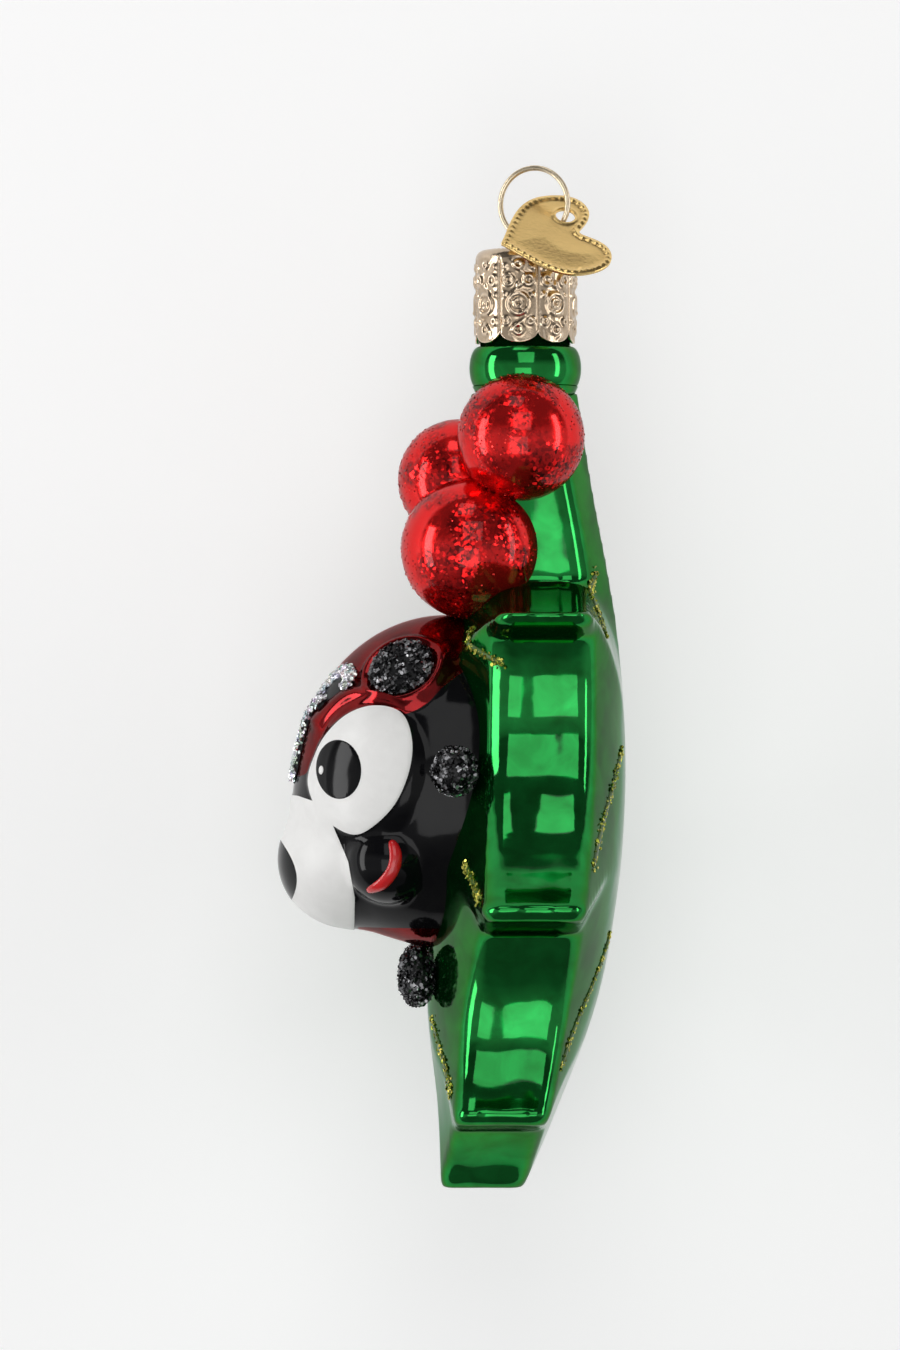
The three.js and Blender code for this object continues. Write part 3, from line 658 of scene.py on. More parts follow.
def leaf_ring(drop):
    """One level ring round the leaf: a dished wall between two beads, then a pillow, each side."""
    reach = np.interp(drop, LEAF_EDGE[:, 1], LEAF_EDGE[:, 0])
    rim = row_curve(RIM_BREADTH, drop) / 2
    middle = row_curve(RIM_MIDDLE, drop)
    bead = min(RIM_ROUND, reach / 3)
    flat = rim - bead
    z = LEAF_TOP - drop
    ring = []
    for side in (1, -1):
        for v in np.linspace(-rim, rim, RIM_STEPS + 1)[1:-1]:
            past = max(abs(v) - flat, 0) / bead
            inward = bead * (1 - math.sqrt(1 - past * past))
            if not past:
                inward = RIM_DISH * (0.5 + 0.5 * math.cos(math.pi * v / flat))
            ring.append((side * (reach - inward), middle + side * v, z))
        aside = side * (reach - bead) * np.linspace(1, -1, FACE_STEPS + 1)
        ring += [(x, y, z) for x, y in zip(aside, leaf_face(side, aside, drop))]
    return ring


def make_leaf():
    """The lofted leaf with its edges softened, and a tree of it."""
    drops = np.linspace(0, LEAF_LENGTH, int(LEAF_LENGTH / LEAF_STEP))
    drops = np.unique(np.concatenate([drops, LEAF_EDGE[:, 1]]))
    blank = loft([leaf_ring(drop) for drop in drops[::-1]])
    piece = new_piece("holly_leaf_glass", *remeshed(*blank, LEAF_VOXEL, LEAF_SOFTENING))
    return tree_of(finish_piece(piece, FIGURE, "green_glass", "holly_leaf"))


# Ladybug: one blown skin from soft joined forms, cut into its fields of lacquer


class Form:
    """An ellipsoid; a facing one has its own Y axis turned to look back along that direction."""

    def __init__(self, centre, semi, facing=None, roll=0.0):
        self.centre = np.array(centre, float)
        self.semi = np.array(semi, float)
        self.turn = np.eye(3)
        if facing is not None:
            facing = unit(facing)
            side = unit((-facing[1], facing[0], 0))
            up = np.cross(facing, side)
            c, s = math.cos(roll), math.sin(roll)
            basis = np.array([side, -facing, up])
            self.turn = np.array([[c, 0, s], [0, 1, 0], [-s, 0, c]]).T @ basis

    def distance(self, points):
        """About how far places are outside."""
        return distance_to_oval((points - self.centre) @ self.turn.T, self.semi)

    def mesh(self, around, down):
        """Points and faces of the form, in rings from its foot to its top."""
        rings = [
            (level_ring(math.cos(b), math.sin(b), around) * self.semi) @ self.turn + self.centre
            for b in np.linspace(-math.pi / 2, math.pi / 2, down + 1)[1:-1]
        ]
        return loft(rings)


def on_skin(form, round_degrees, up_degrees, rise=0.0):
    """A place on an ellipsoid's skin, round from the front and up, and the way out of it."""
    a, b = math.radians(round_degrees), math.radians(up_degrees)
    way = np.array([math.sin(a) * math.cos(b), -math.cos(a) * math.cos(b), math.sin(b)])
    outward = unit(way / form.semi)
    return way * form.semi + form.centre + outward * rise, outward


def seated(form, side, round_degrees, up_degrees, rise, semi, roll=0.0):
    """A form on another one's skin, facing out of it."""
    place, outward = on_skin(form, side * round_degrees, up_degrees, rise)
    return Form(place, semi, outward, side * math.radians(roll))


BODY_DROP, BODY_SINK = 44.7, 1.1
BODY_Y = float(leaf_face(-1, 0.0, BODY_DROP)) + BODY_SINK
BODY_Z = LEAF_TOP - BODY_DROP
body = Form((0, BODY_Y, BODY_Z), (15.4, 17.25, 19.2))
head = Form((0, BODY_Y - 6.3, BODY_Z - 4.6), (12.4, 11.5, 12.6))
muzzle = Form((0, BODY_Y - 10.9, BODY_Z - 8.9), (9.2, 8.3, 7.9))
cheeks = [seated(body, side, 60, -30.5, -2.2, (5, 5, 5)) for _, side in LEFT_RIGHT]
eyes = [seated(body, side, 56, 4, -1.6, (7.0, 2.7, 8.0), 14) for _, side in LEFT_RIGHT]
# Each form with the fillet that joins it to the ones before
SKIN_FORMS = [(body, 0), (head, 1.6), (muzzle, 1.2)]
SKIN_FORMS += [(cheek, 0.7) for cheek in cheeks] + [(eye, 0.9) for eye in eyes]

# The lacquers' outlines seen from the side: Y along the ladybug, then Z
EYE_LINE = soft_loop([
    (-23.9, -64.9), (-25.3, -67.6), (-25.9, -70.3), (-24.9, -73.1), (-22.8, -75.2), (-20.4, -76.1),
    (-18.2, -75.0), (-15.9, -72.6), (-14.4, -69.3), (-13.9, -66.0), (-14.6, -63.0), (-16.2, -61.7),
    (-18.9, -61.5), (-21.6, -62.6),
])
MUZZLE_LINE = np.array([
    (-34.0, -71.6), (-27.1, -71.8), (-25.1, -72.4), (-23.5, -73.8), (-22.7, -75.7), (-21.2, -79.2),
    (-20.5, -83.4), (-20.6, -86.4), (-20.9, -90.0), (-34.0, -90.0),
])
HEM_LINE = soft_loop([
    (-34.0, -69.0), (-27.0, -69.6), (-25.5, -67.8), (-24.4, -65.3), (-21.7, -62.6), (-18.9, -61.9),
    (-15.4, -62.5), (-12.5, -61.4), (-10.2, -59.1), (-7.4, -57.2), (-3.9, -55.7), (8.0, -52.0),
], closed=False)
RIDGE_LINE = soft_loop([
    (-24.6, -63.4), (-21.7, -60.9), (-19.4, -60.3), (-15.4, -61.2), (-12.5, -60.2), (-11.1, -58.6),
    (-10.4, -56.8), (-10.2, -55.1),
], closed=False)
SMILE_LINE = soft_loop([
    (-16.3, -76.6), (-15.8, -78.3), (-16.1, -80.0), (-17.3, -81.6), (-19.1, -82.6),
], 6, closed=False)
PUPIL_CENTRE, PUPIL_SEMI, PUPIL_TILT = (-22.3, -68.7), (2.6, 3.35), 4
# The white dot on each pupil, a painted highlight: its place seen from the side, then its size
CATCHLIGHT, CATCHLIGHT_SEMI = (-24.3, -68.8), (0.42, 0.16, 0.5)
# The nose is an oval seen from the front, X then Z, on what lies ahead of NOSE_BACK
NOSE_CENTRE, NOSE_SEMI, NOSE_BACK = (0, -80.4), (6.2, 3.5), -24.0
CHIN_Z, CHIN_AHEAD = -86.9, -20.2
BACK_CUT = -5.5
SPOT_ROUND, SPOT_UP = 66, 43
COLLAR_RADIUS, COLLAR_WIDTH, COLLAR_RISE = 4.5, 0.6, 0.5
SKIN_VOXEL, SKIN_SOFTENING = 0.24, 4
GLASS_WALL = 0.8
ENAMEL_RISE, ENAMEL_SLOPE = 0.16, 0.45
RIDGE_RISE, RIDGE_WIDTH = 0.75, 1.0
SEAM_DEPTH, SEAM_WIDTH = 0.35, 0.5

# Each field's piece, slot and CAD node, and whether it is a left and a right one
LACQUERS = {
    "nose": ("nose_enamel", "black_enamel", "nose", False),
    "muzzle": ("muzzle_enamel", "white_enamel", "muzzle", False),
    "belly": ("belly_glass", "red_glass", "belly", False),
    "head": ("head_enamel", "black_enamel", "head", False),
    "pupil": ("pupil_enamel", "black_enamel", "pupil", True),
    "eye": ("eye_white_enamel", "white_enamel", "eye_white", True),
    "wing": ("wing_case_glass", "red_glass", "wing_case", True),
}


def skin_distance(points):
    """How far places are outside the blown skin, its forms joined with soft fillets."""
    total = body.distance(points)
    for form, fillet in SKIN_FORMS[1:]:
        own = form.distance(points)
        near = np.maximum(fillet - np.abs(total - own), 0) / fillet
        total = np.minimum(total, own) - near * near * fillet / 4
    return total


def inside_oval(places, centre, semi, tilt=0):
    """About the distance to an oval's edge, above 0 inside it."""
    c, s = math.cos(math.radians(tilt)), math.sin(math.radians(tilt))
    return -distance_to_oval((places - centre) @ np.array([[c, -s], [s, c]]), np.array(semi))


def skin_fields(points):
    """Each lacquer's field over the skin, above 0 inside it, in the order that they are cut."""
    seen = points[:, 1:]
    nose = inside_oval(points[:, [0, 2]], NOSE_CENTRE, NOSE_SEMI)
    return {
        "nose": np.minimum(nose, NOSE_BACK - points[:, 1]),
        "muzzle": inside_outline(seen, MUZZLE_LINE),
        "pupil": inside_oval(seen, PUPIL_CENTRE, PUPIL_SEMI, PUPIL_TILT),
        "eye": inside_outline(seen, EYE_LINE),
        "wing": points[:, 2] - np.interp(points[:, 1], HEM_LINE[:, 0], HEM_LINE[:, 1]),
        "belly": np.minimum(CHIN_Z - points[:, 2], points[:, 1] - CHIN_AHEAD),
    }


def raised_skin(points, normals):
    """The skin with the enamels' thickness, the wing case's ridges, rims and seam."""
    fields = skin_fields(points)
    white = np.maximum(fields["eye"], fields["muzzle"])
    dark = np.maximum(fields["pupil"], fields["nose"])
    rise = ENAMEL_RISE * smooth_step(-ENAMEL_SLOPE / 2, ENAMEL_SLOPE / 2, white)
    rise += 0.5 * ENAMEL_RISE * smooth_step(-ENAMEL_SLOPE / 2, ENAMEL_SLOPE / 2, dark)
    off_eye = smooth_step(0.3, -0.6, fields["eye"])
    on_wing = smooth_step(-0.3, 0.5, fields["wing"])
    rise += RIDGE_RISE * bell(distance_to_line(points[:, 1:], RIDGE_LINE), RIDGE_WIDTH) * off_eye
    for _, side in LEFT_RIGHT:
        middle, _ = on_skin(body, side * SPOT_ROUND, SPOT_UP)
        off = np.linalg.norm(points - middle, axis=1) - COLLAR_RADIUS
        rise += COLLAR_RISE * bell(off, COLLAR_WIDTH) * on_wing * off_eye
    rise -= SEAM_DEPTH * bell(points[:, 0], SEAM_WIDTH) * on_wing
    return points + normals * rise[:, None]


def blown_skin():
    """The ladybug's skin: columns of place, way out and each field, triangles, the fields' names."""
    blank = joined(*(form.mesh(64, 40) for form, _ in SKIN_FORMS))
    points, faces = remeshed(*blank, SKIN_VOXEL, SKIN_SOFTENING)
    points = settled(points, skin_distance)
    tris = triangles(faces)
    points = raised_skin(points, corner_normals(points, tris))
    fields = skin_fields(points)
    columns = np.column_stack([points, corner_normals(points, tris), *fields.values()])
    front, _ = divided(columns, tris, BACK_CUT - points[:, 1])
    return front, list(fields)


def shell_piece(name, columns, tris):
    """A closed piece of skin: its outer face, an inner face and the rim between them."""
    outer, normals = columns[:, :3], unit(columns[:, 3:6])
    faces, rim = sheet_faces(tris, len(outer))
    along = outer[rim[:, 1]] - outer[rim[:, 0]]
    aside = unit(np.cross(along, normals[rim[:, 0]]))
    corners = [normals[tris].reshape(-1, 3), -normals[tris[:, ::-1]].reshape(-1, 3)]
    corners.append(np.repeat(aside, 4, axis=0))
    points = np.concatenate([outer, outer - normals * GLASS_WALL])
    return new_piece(name, points, faces, np.concatenate(corners))


def make_ladybug():
    """Cuts the skin into its lacquers and gives a tree of them; what no field takes is the head."""
    rest, names = blown_skin()
    cuts = {}
    for at, name in enumerate(names):
        cuts[name], rest = divided(*rest, rest[0][:, 6 + at])
    cuts["head"] = rest
    pieces = []
    for name, (piece_name, slot, node, paired) in LACQUERS.items():
        parts, endings = [cuts[name]], [""]
        if paired:
            right, left = divided(*cuts[name], cuts[name][0][:, 0])
            parts, endings = (left, right), ("_left", "_right")
        for part, ending in zip(parts, endings):
            piece = shell_piece(piece_name + ending, *part)
            pieces.append(finish_piece(piece, FIGURE, slot, node + ending))
    single, paired = pieces[:4], pieces[4:]
    return tree_of(*single, *paired[::2], *paired[1::2])


def onto_skin(skin, side, y, z):
    """The skin's place and way out, where a line from that side meets it."""
    hit, normal, _, _ = skin.ray_cast(Vector((side * 60.0, y, z)), Vector((-side, 0, 0)))
    if hit is None:
        return nearest_on(skin, (side * 5.0, y, z))
    return np.array(hit), np.array(normal)


# Deposits: raised lines, beds and loose flakes

LINE_SIDES, LINE_SINK = 10, 0.05
FOOT_ASIDE, FOOT_RISE = 5.5, 2.0
FOOT_DROP = BODY_DROP + body.semi[2] + 3.0
ANTENNA_BASE, ANTENNA_CURL = (6.0, -3.0), (29.0, 33.0)
ANTENNA_WIDTH, ANTENNA_HEIGHT = 1.5, 0.5
STEM_STOPS, CURL_STOPS = 12, 36
CURL_RADIUS, CURL_TURN, CURL_INNER = 2.9, 320.0, 0.8
SMILE_WIDTH, SMILE_HEIGHT = 1.5, 0.35
VEIN_WIDTH, VEIN_HEIGHT = 0.8, 0.25
# Glitter lines along the leaf's veins: the face, then beside the midrib and down at both ends
VEINS = {
    "front_upper": (-1, (10, 27.0), (20, 32.0)),
    "front_middle": (-1, (18.5, 53.5), (28, 57.6)),
    "front_lower": (-1, (3.5, 71.5), (15.5, 80.0)),
    "back_upper": (1, (3, 20.6), (12, 28.0)),
    "back_middle": (1, (5, 40.7), (24, 54.2)),
    "back_lower": (1, (4, 61.6), (15, 77.2)),
}
# How far each berry is aside, ahead of the leaf's middle and down, and its radius
BERRIES = {
    "berry_lower": (3.0, 7.75, 18.0, 8.3),
    "berry_upper_right": (5.5, 0.9, 5.3, 7.5),
    "berry_upper_left": (-5.0, 8.4, 9.9, 7.25),
}
DRIFT_SCALE, DRIFT_LEVEL = 0.17, -0.02


def raised_line(places, outwards, widths, heights):
    """A bead along places, half round."""
    outwards = unit(outwards)
    sideways = unit(np.cross(unit(np.gradient(places, axis=0)), outwards))
    turn = np.linspace(0, 2 * math.pi, LINE_SIDES, endpoint=False)[:, None]
    lift, reach = np.maximum(np.cos(turn), -0.5), np.sin(turn) / 2
    return loft([
        place + outward * (lift * height - LINE_SINK) + side * reach * width
        for place, outward, side, width, height in zip(places, outwards, sideways, widths, heights)
    ])


def round_ended(count, ends):
    """Shares of full width along a line that is rounded at both ends."""
    t = np.linspace(0, 1, count)
    near = np.clip(np.minimum(t, 1 - t) / ends, 0, 1)
    return np.maximum(np.sqrt(1 - (1 - near) ** 2), 0.08)


def flakes(places, outwards, size, chance, lean=0.9, thick=0.04, layers=1.0, sides=6):
    """Loose hexagonal flakes on places, each leaning its own way, as closed thin plates."""
    points, faces = [], []
    for place, outward in zip(places, outwards):
        outward = Vector(outward)
        normal = outward + Vector([chance.gauss(0, lean) for _ in range(3)])
        if normal.dot(outward) < 0.1:
            normal = outward.copy()
        normal.normalize()
        level = normal.orthogonal().normalized()
        other = normal.cross(level)
        turn = chance.uniform(0, math.pi)
        radius = size * chance.uniform(0.7, 1.15) / 2
        centre = Vector(place) + outward * chance.uniform(0, size * 0.45 * layers)
        start = len(points)
        for lift in (thick, -thick):
            for i in range(sides):
                angle = turn + 2 * math.pi * i / sides
                spot = centre + (level * math.cos(angle) + other * math.sin(angle)) * radius
                points.append(tuple(spot + normal * lift))
        top = list(range(start, start + sides))
        under = [i + sides for i in top]
        faces += [tuple(top), tuple(reversed(under))]
        for i in range(sides):
            j = (i + 1) % sides
            faces.append((under[i], under[j], top[j], top[i]))
    return points, faces


def scattered(form, count, chance, keep=lambda place: True):
    """Even places over an ellipsoid and the ways out of it."""
    places, outwards = [], []
    turn = math.pi * (3 - math.sqrt(5))
    for i in range(count):
        z = 1 - 2 * (i + 0.5) / count
        r = math.sqrt(1 - z * z)
        a = turn * i + chance.uniform(-0.2, 0.2)
        way = np.array([r * math.cos(a), r * math.sin(a), z])
        place = (way * form.semi) @ form.turn + form.centre
        if keep(place):
            places.append(place)
            outwards.append(unit((way / form.semi) @ form.turn))
    return places, outwards


def strewn(places, outwards, count, chance, draw, width, height, lean):
    """Places along a line and a little beside it, by what draw gives, and the ways out there."""
    across = unit(np.cross(unit(np.gradient(places, axis=0)), outwards))
    spread, lifts = [], []
    for _ in range(count):
        at = chance.uniform(0, len(places) - 1.001)
        i = int(at)
        off = draw()
        centre = places[i] + (places[i + 1] - places[i]) * (at - i)
        bulge = height * math.sqrt(max(0.05, 1 - off * off))
        spread.append(centre + across[i] * off * width + outwards[i] * bulge)
        lifts.append(unit(outwards[i] + across[i] * off * lean))
    return spread, lifts


def flake_piece(name, base, plates, slot, bed, flake, node):
    """A bed of glue, or a blown form, and its flakes as one piece with two finishes."""
    piece = new_piece(name, *joined(base, plates))
    finish_piece(piece, FIGURE, slot, node, material=bed)
    piece.data.materials.append(MATERIALS[flake])
    for face in piece.data.polygons[len(base[1]):]:
        face.material_index = 1
        face.use_smooth = False


def make_glitter_pads():
    """Black glitter on the wing cases, the hands and the feet."""
    chance = random.Random(7)
    for side, s in LEFT_RIGHT:
        foot_y = float(leaf_face(-1, FOOT_ASIDE, FOOT_DROP)) - FOOT_RISE
        foot_at = (s * FOOT_ASIDE, foot_y, LEAF_TOP - FOOT_DROP)
        pads = {
            "wing_spot": (seated(body, s, SPOT_ROUND, SPOT_UP, 0.05, (3.6, 0.55, 3.7), 12), 800),
            "hand": (seated(body, s, 93, 4, 1.0, (2.5, 2.5, 2.7)), 700),
            "foot": (Form(foot_at, (2.4, 2.0, 3.3)), 700),
        }
        for name, (form, count) in pads.items():
            plates = flakes(*scattered(form, count, chance), 0.46, chance)
            flake_piece(
                f"{name}_glitter_{side}", form.mesh(28, 18), plates,
                "black_glitter", "glue_dark", "black_glitter", f"{name}_{side}",
            )


def antenna_stops():
    """The antenna on the body, degrees round and up: a stem up the brow and a curl over it."""
    curl_degrees = math.degrees(CURL_RADIUS / body.semi[2])
    widen = 1 / math.cos(math.radians(ANTENNA_CURL[1]))

    def curl(turn, share):
        turn = math.radians(turn)
        round_degrees = ANTENNA_CURL[0] - share * curl_degrees * widen * math.cos(turn)
        return round_degrees, ANTENNA_CURL[1] + share * curl_degrees * math.sin(turn)

    start = np.array(curl(0, 1))
    base = np.array(ANTENNA_BASE)
    stem = [base + (start - base) * (t * t, t) for t in np.arange(STEM_STOPS) / STEM_STOPS]
    shares = np.arange(CURL_STOPS + 1) / CURL_STOPS
    return stem + [curl(CURL_TURN * t, 1 - (1 - CURL_INNER) * t) for t in shares]


def make_antennae(skin):
    """Silver flakes over a dark glue line, and a dark bed inside the curl."""
    chance = random.Random(11)
    for side, s in LEFT_RIGHT:
        hits = [nearest_on(skin, on_skin(body, s * way, up)[0]) for way, up in antenna_stops()]
        places, outwards = (np.array(part) for part in zip(*hits))
        share = round_ended(len(places), 0.06)
        line = raised_line(places, outwards, ANTENNA_WIDTH * share, ANTENNA_HEIGHT * share)
        bed_place, bed_way = on_skin(body, s * ANTENNA_CURL[0], ANTENNA_CURL[1], 0.05)
        bed = Form(bed_place, (1.9, 0.35, 1.9), bed_way)
        spread = strewn(
            places, outwards, 1500, chance, lambda: chance.uniform(-1, 1), 0.8, ANTENNA_HEIGHT, 0.8,
        )
        flake_piece(
            f"antenna_glitter_{side}", joined(line, bed.mesh(24, 12)),
            flakes(*spread, 0.44, chance, 0.7),
            "silver_glitter", "glue_dark", "silver_glitter", f"antenna_{side}",
        )


def make_catchlights(skin):
    """The white dot on each pupil: a painted highlight, a lamp's catchlight in white enamel."""
    for side, s in LEFT_RIGHT:
        place, outward = onto_skin(skin, s, *CATCHLIGHT)
        dot = Form(place, CATCHLIGHT_SEMI, outward)
        # A painted highlight: white enamel where a lamp's reflection falls on the pupil.
        piece = new_piece(f"painted_catchlight_{side}", *dot.mesh(24, 14))
        finish_piece(piece, FIGURE, "white_enamel")


def make_smiles(skin):
    """A brush stroke of red on each cheek."""
    for side, s in LEFT_RIGHT:
        hits = [onto_skin(skin, s, y, z) for y, z in SMILE_LINE]
        places, outwards = (np.array(part) for part in zip(*hits))
        share = round_ended(len(places), 0.3)
        stroke = raised_line(places, outwards, SMILE_WIDTH * share, SMILE_HEIGHT * share)
        piece = new_piece(f"smile_enamel_{side}", *stroke)
        finish_piece(piece, FIGURE, "red_enamel", f"smile_{side}")


def make_veins(leaf):
    """Lines of gold-green glitter on the leaf's front and back."""
    chance = random.Random(5)
    for name, (face, start, end) in VEINS.items():
        for side, s in LEFT_RIGHT:
            stops = np.linspace(start, end, 24) * (s, 1)
            hits = [
                nearest_on(leaf, (x, float(leaf_face(face, x, drop)), LEAF_TOP - drop))
                for x, drop in stops
            ]
            places, outwards = (np.array(part) for part in zip(*hits))
            share = round_ended(len(places), 0.12)
            base = raised_line(places, outwards, VEIN_WIDTH * share, VEIN_HEIGHT * share)
            spread = strewn(places, outwards, 150, chance, lambda: chance.gauss(0, 0.42), 0.7, 0, 0)
            flake_piece(
                f"vein_glitter_{name}_{side}", base, flakes(*spread, 0.4, chance, 0.6),
                "green_glitter", "glue_clear", "green_glitter", f"vein_{name}_{side}",
            )


def in_drift(place):
    """Whether a place on a berry lies where its glitter gathered."""
    return noise.noise(Vector(place) * DRIFT_SCALE) > DRIFT_LEVEL


def make_berries():
    """Three blown berries with flakes in drifts."""
    chance = random.Random(3)
    for name, (aside, ahead, drop, radius) in BERRIES.items():
        centre = (aside, float(row_curve(RIM_MIDDLE, drop)) - ahead, LEAF_TOP - drop)
        form = Form(centre, (radius - 0.2,) * 3)
        spread = scattered(form, 900, chance, in_drift)
        plates = flakes(*spread, 0.26, chance, 0.25, thick=0.02, layers=0.15)
        flake_piece(
            f"{name}_glass", form.mesh(72, 44), plates,
            "berry_glass", "berry_glass", "red_glitter", name,
        )


# Neck, cap, hanger and tag

CAP_Y, CAP_GAP = -1.0, 0.3
NECK_RADIUS, NECK_BORE, NECK_SIDES = 5.2, 4.2, 96
# Radii and heights over the bulb's foot
NECK_FOOT = ((NECK_BORE, -0.6), (5.6, -0.6), (6.1, 0.4))
BULB_ROUND, BULB_DEGREES = 1.1, 80
CAP_PANELS, PANEL_WIDTH = 8, 4.6
CAP_PHASE = math.radians(14)
CAP_RADIUS, CAP_SHEET, CAP_CORNER = 6.1, 0.35, 1.1
CAP_SIDES, WALL_ROWS = 640, 96
SCALLOP = 1.4
WALL_INSET, PANEL_DIP, TOP_INSET, TOP_DIP = 0.32, 0.1, 0.36, 0.12
TOP_BEADS, BEAD_RISE, BEAD_WIDTH = 36, 0.12, 0.22
# The stamped pattern on a panel, across it and over the cap's edge: rings with their radius,
# width and rise, then dots
PANEL_RINGS = (
    (0.0, 4.4, 1.15, 0.26, 0.24), (0.0, 4.4, 0.45, 0.3, 0.2), (0.0, 1.5, 0.5, 0.24, 0.2),
    (1.45, 2.4, 0.3, 0.25, 0.2), (-1.45, 2.4, 0.3, 0.25, 0.2), (1.2, 7.1, 0.55, 0.24, 0.2),
    (-1.2, 7.1, 0.55, 0.24, 0.2), (0.0, 8.9, 0.4, 0.24, 0.2),
)
PANEL_DOTS = ((1.6, 5.4), (-1.6, 5.4), (1.6, 8.6), (-1.6, 8.6), (0.0, 6.6))
DOT_RISE, DOT_WIDTH = 0.22, 0.32
VINE_RISE, VINE_WIDTH, VINE_SWING, VINE_TURNS = 0.1, 0.3, 0.9, 1.5
CREASE_DEPTH, CREASE_WIDTH = 0.14, 0.16


def make_neck():
    """A tube with a round bulb under the cap."""
    bulb = (neck_high[0] - neck_low[0]) / 2
    foot, shoulder = neck_low[2], cap_low[2] - CAP_GAP
    profile = [(radius, foot + rise) for radius, rise in NECK_FOOT]
    for lean in np.radians(np.linspace(-BULB_DEGREES, BULB_DEGREES, 15)):
        radius = bulb - BULB_ROUND * (1 - math.cos(lean))
        profile.append((radius, (shoulder + foot) / 2 + (shoulder - foot) / 2 * math.sin(lean)))
    top = neck_high[2]
    profile += [(NECK_RADIUS, shoulder), (NECK_RADIUS, top), (NECK_BORE, top), profile[0]]
    rings = np.array([level_ring(radius, z, NECK_SIDES) for radius, z in profile])
    points = rings.reshape(-1, 3) + (0, CAP_Y, 0)
    piece = new_piece("neck_glass", points, ring_faces(len(profile), NECK_SIDES))
    merge_doubles(piece)
    finish_piece(piece, FIGURE, "green_glass", "glass_neck")


def cap_relief(turn, height):
    """How far the stamped pattern stands out of the wall: rings, dots, a vine and creases."""
    panel = np.floor(turn)
    share = turn - panel
    across = (share - 0.5) * PANEL_WIDTH
    flip = np.where(panel % 2 == 0, 1.0, -1.0)
    relief = np.zeros_like(across)
    for at_x, at_z, radius, width, rise in PANEL_RINGS:
        away = np.hypot(across * flip - at_x, height - at_z)
        relief += rise * bell(away - radius, width)
    for at_x, at_z in PANEL_DOTS:
        relief += DOT_RISE * bell(np.hypot(across - at_x, height - at_z), DOT_WIDTH)
    vine = across - VINE_SWING * np.sin(height * VINE_TURNS) * flip
    relief += VINE_RISE * bell(vine, VINE_WIDTH)
    crease = np.minimum(share, 1 - share) * PANEL_WIDTH
    return relief * smooth_step(0.05, 0.5, crease) - CREASE_DEPTH * bell(crease, CREASE_WIDTH)


def make_cap():
    """A stamped cup: scalloped edge, a wall in relief, a round corner and a beaded, sunk top."""
    low, high = cap_low[2], cap_high[2]
    angle = np.linspace(0, 2 * math.pi, CAP_SIDES, endpoint=False)
    turn = (angle - CAP_PHASE) / (2 * math.pi) * CAP_PANELS
    share = turn - np.floor(turn)
    hem = low + SCALLOP * (1 - np.sqrt(np.maximum(1 - (2 * share - 1) ** 2, 0)))
    wall = CAP_RADIUS - WALL_INSET - PANEL_DIP * (1 - np.abs(np.cos(turn * math.pi)))
    rows = []
    for t in np.linspace(0, 1, WALL_ROWS + 1):
        z = hem + (high - CAP_CORNER - hem) * t
        strength = smooth_step(0, 0.06, t) * smooth_step(1.02, 0.93, t)
        rows.append(level_ring(wall + cap_relief(turn, z - low) * strength, z, CAP_SIDES))
    flat = CAP_RADIUS - TOP_INSET - CAP_CORNER
    for lean in np.linspace(0, math.pi / 2, 12)[1:]:
        z = high - CAP_CORNER * (1 - math.sin(lean))
        rows.append(level_ring(flat + CAP_CORNER * math.cos(lean), z, CAP_SIDES))
    for radius in flat * np.linspace(1, 0, 28)[1:-1]:
        beads = BEAD_RISE * bell(radius - flat * 0.86, BEAD_WIDTH)
        dip = TOP_DIP * smooth_step(flat * 0.8, flat * 0.6, radius)
        z = high - dip + beads * (0.6 + 0.4 * np.cos(angle * TOP_BEADS))
        rows.append(level_ring(radius, z, CAP_SIDES))
    outer = np.array(rows)
    inner = outer.copy()
    reach = np.linalg.norm(outer[:, :, :2], axis=-1, keepdims=True)
    upright = WALL_ROWS + 9
    inner[:upright, :, :2] *= 1 - CAP_SHEET / reach[:upright]
    inner[WALL_ROWS:, :, 2] -= CAP_SHEET
    surface = np.concatenate([inner[::-1], outer])
    faces = ring_faces(len(surface), CAP_SIDES)
    points = surface.reshape(-1, 3)
    count = len(points)
    for i in range(CAP_SIDES):
        j = (i + 1) % CAP_SIDES
        faces += [(count, j, i), (count + 1, count - CAP_SIDES + i, count - CAP_SIDES + j)]
    centres = [(0, 0, high - TOP_DIP - CAP_SHEET), (0, 0, high - TOP_DIP)]
    piece = new_piece("cap_metal", np.concatenate([points, centres]) + (0, CAP_Y, 0), faces)
    finish_piece(piece, HANGING, "cap_metal", "cap")


LOOP_TURN = math.radians(22)
LOOP_RADIUS, LOOP_CENTRE_Z, LOOP_STOPS = 4.15, -3.85, 33
WIRE, WIRE_SIDES = 0.65, 16
# The legs' spread, their straight part over and under the cap's top, and their depth
LEG_SPREAD, LEG_OVER, LEG_UNDER, LEG_DEPTH = 4.6, 0.4, 1.05, 12.5
FOOT_GAP = 0.3
LEG_WAY = np.array([math.sin(LOOP_TURN), math.cos(LOOP_TURN), 0.0])


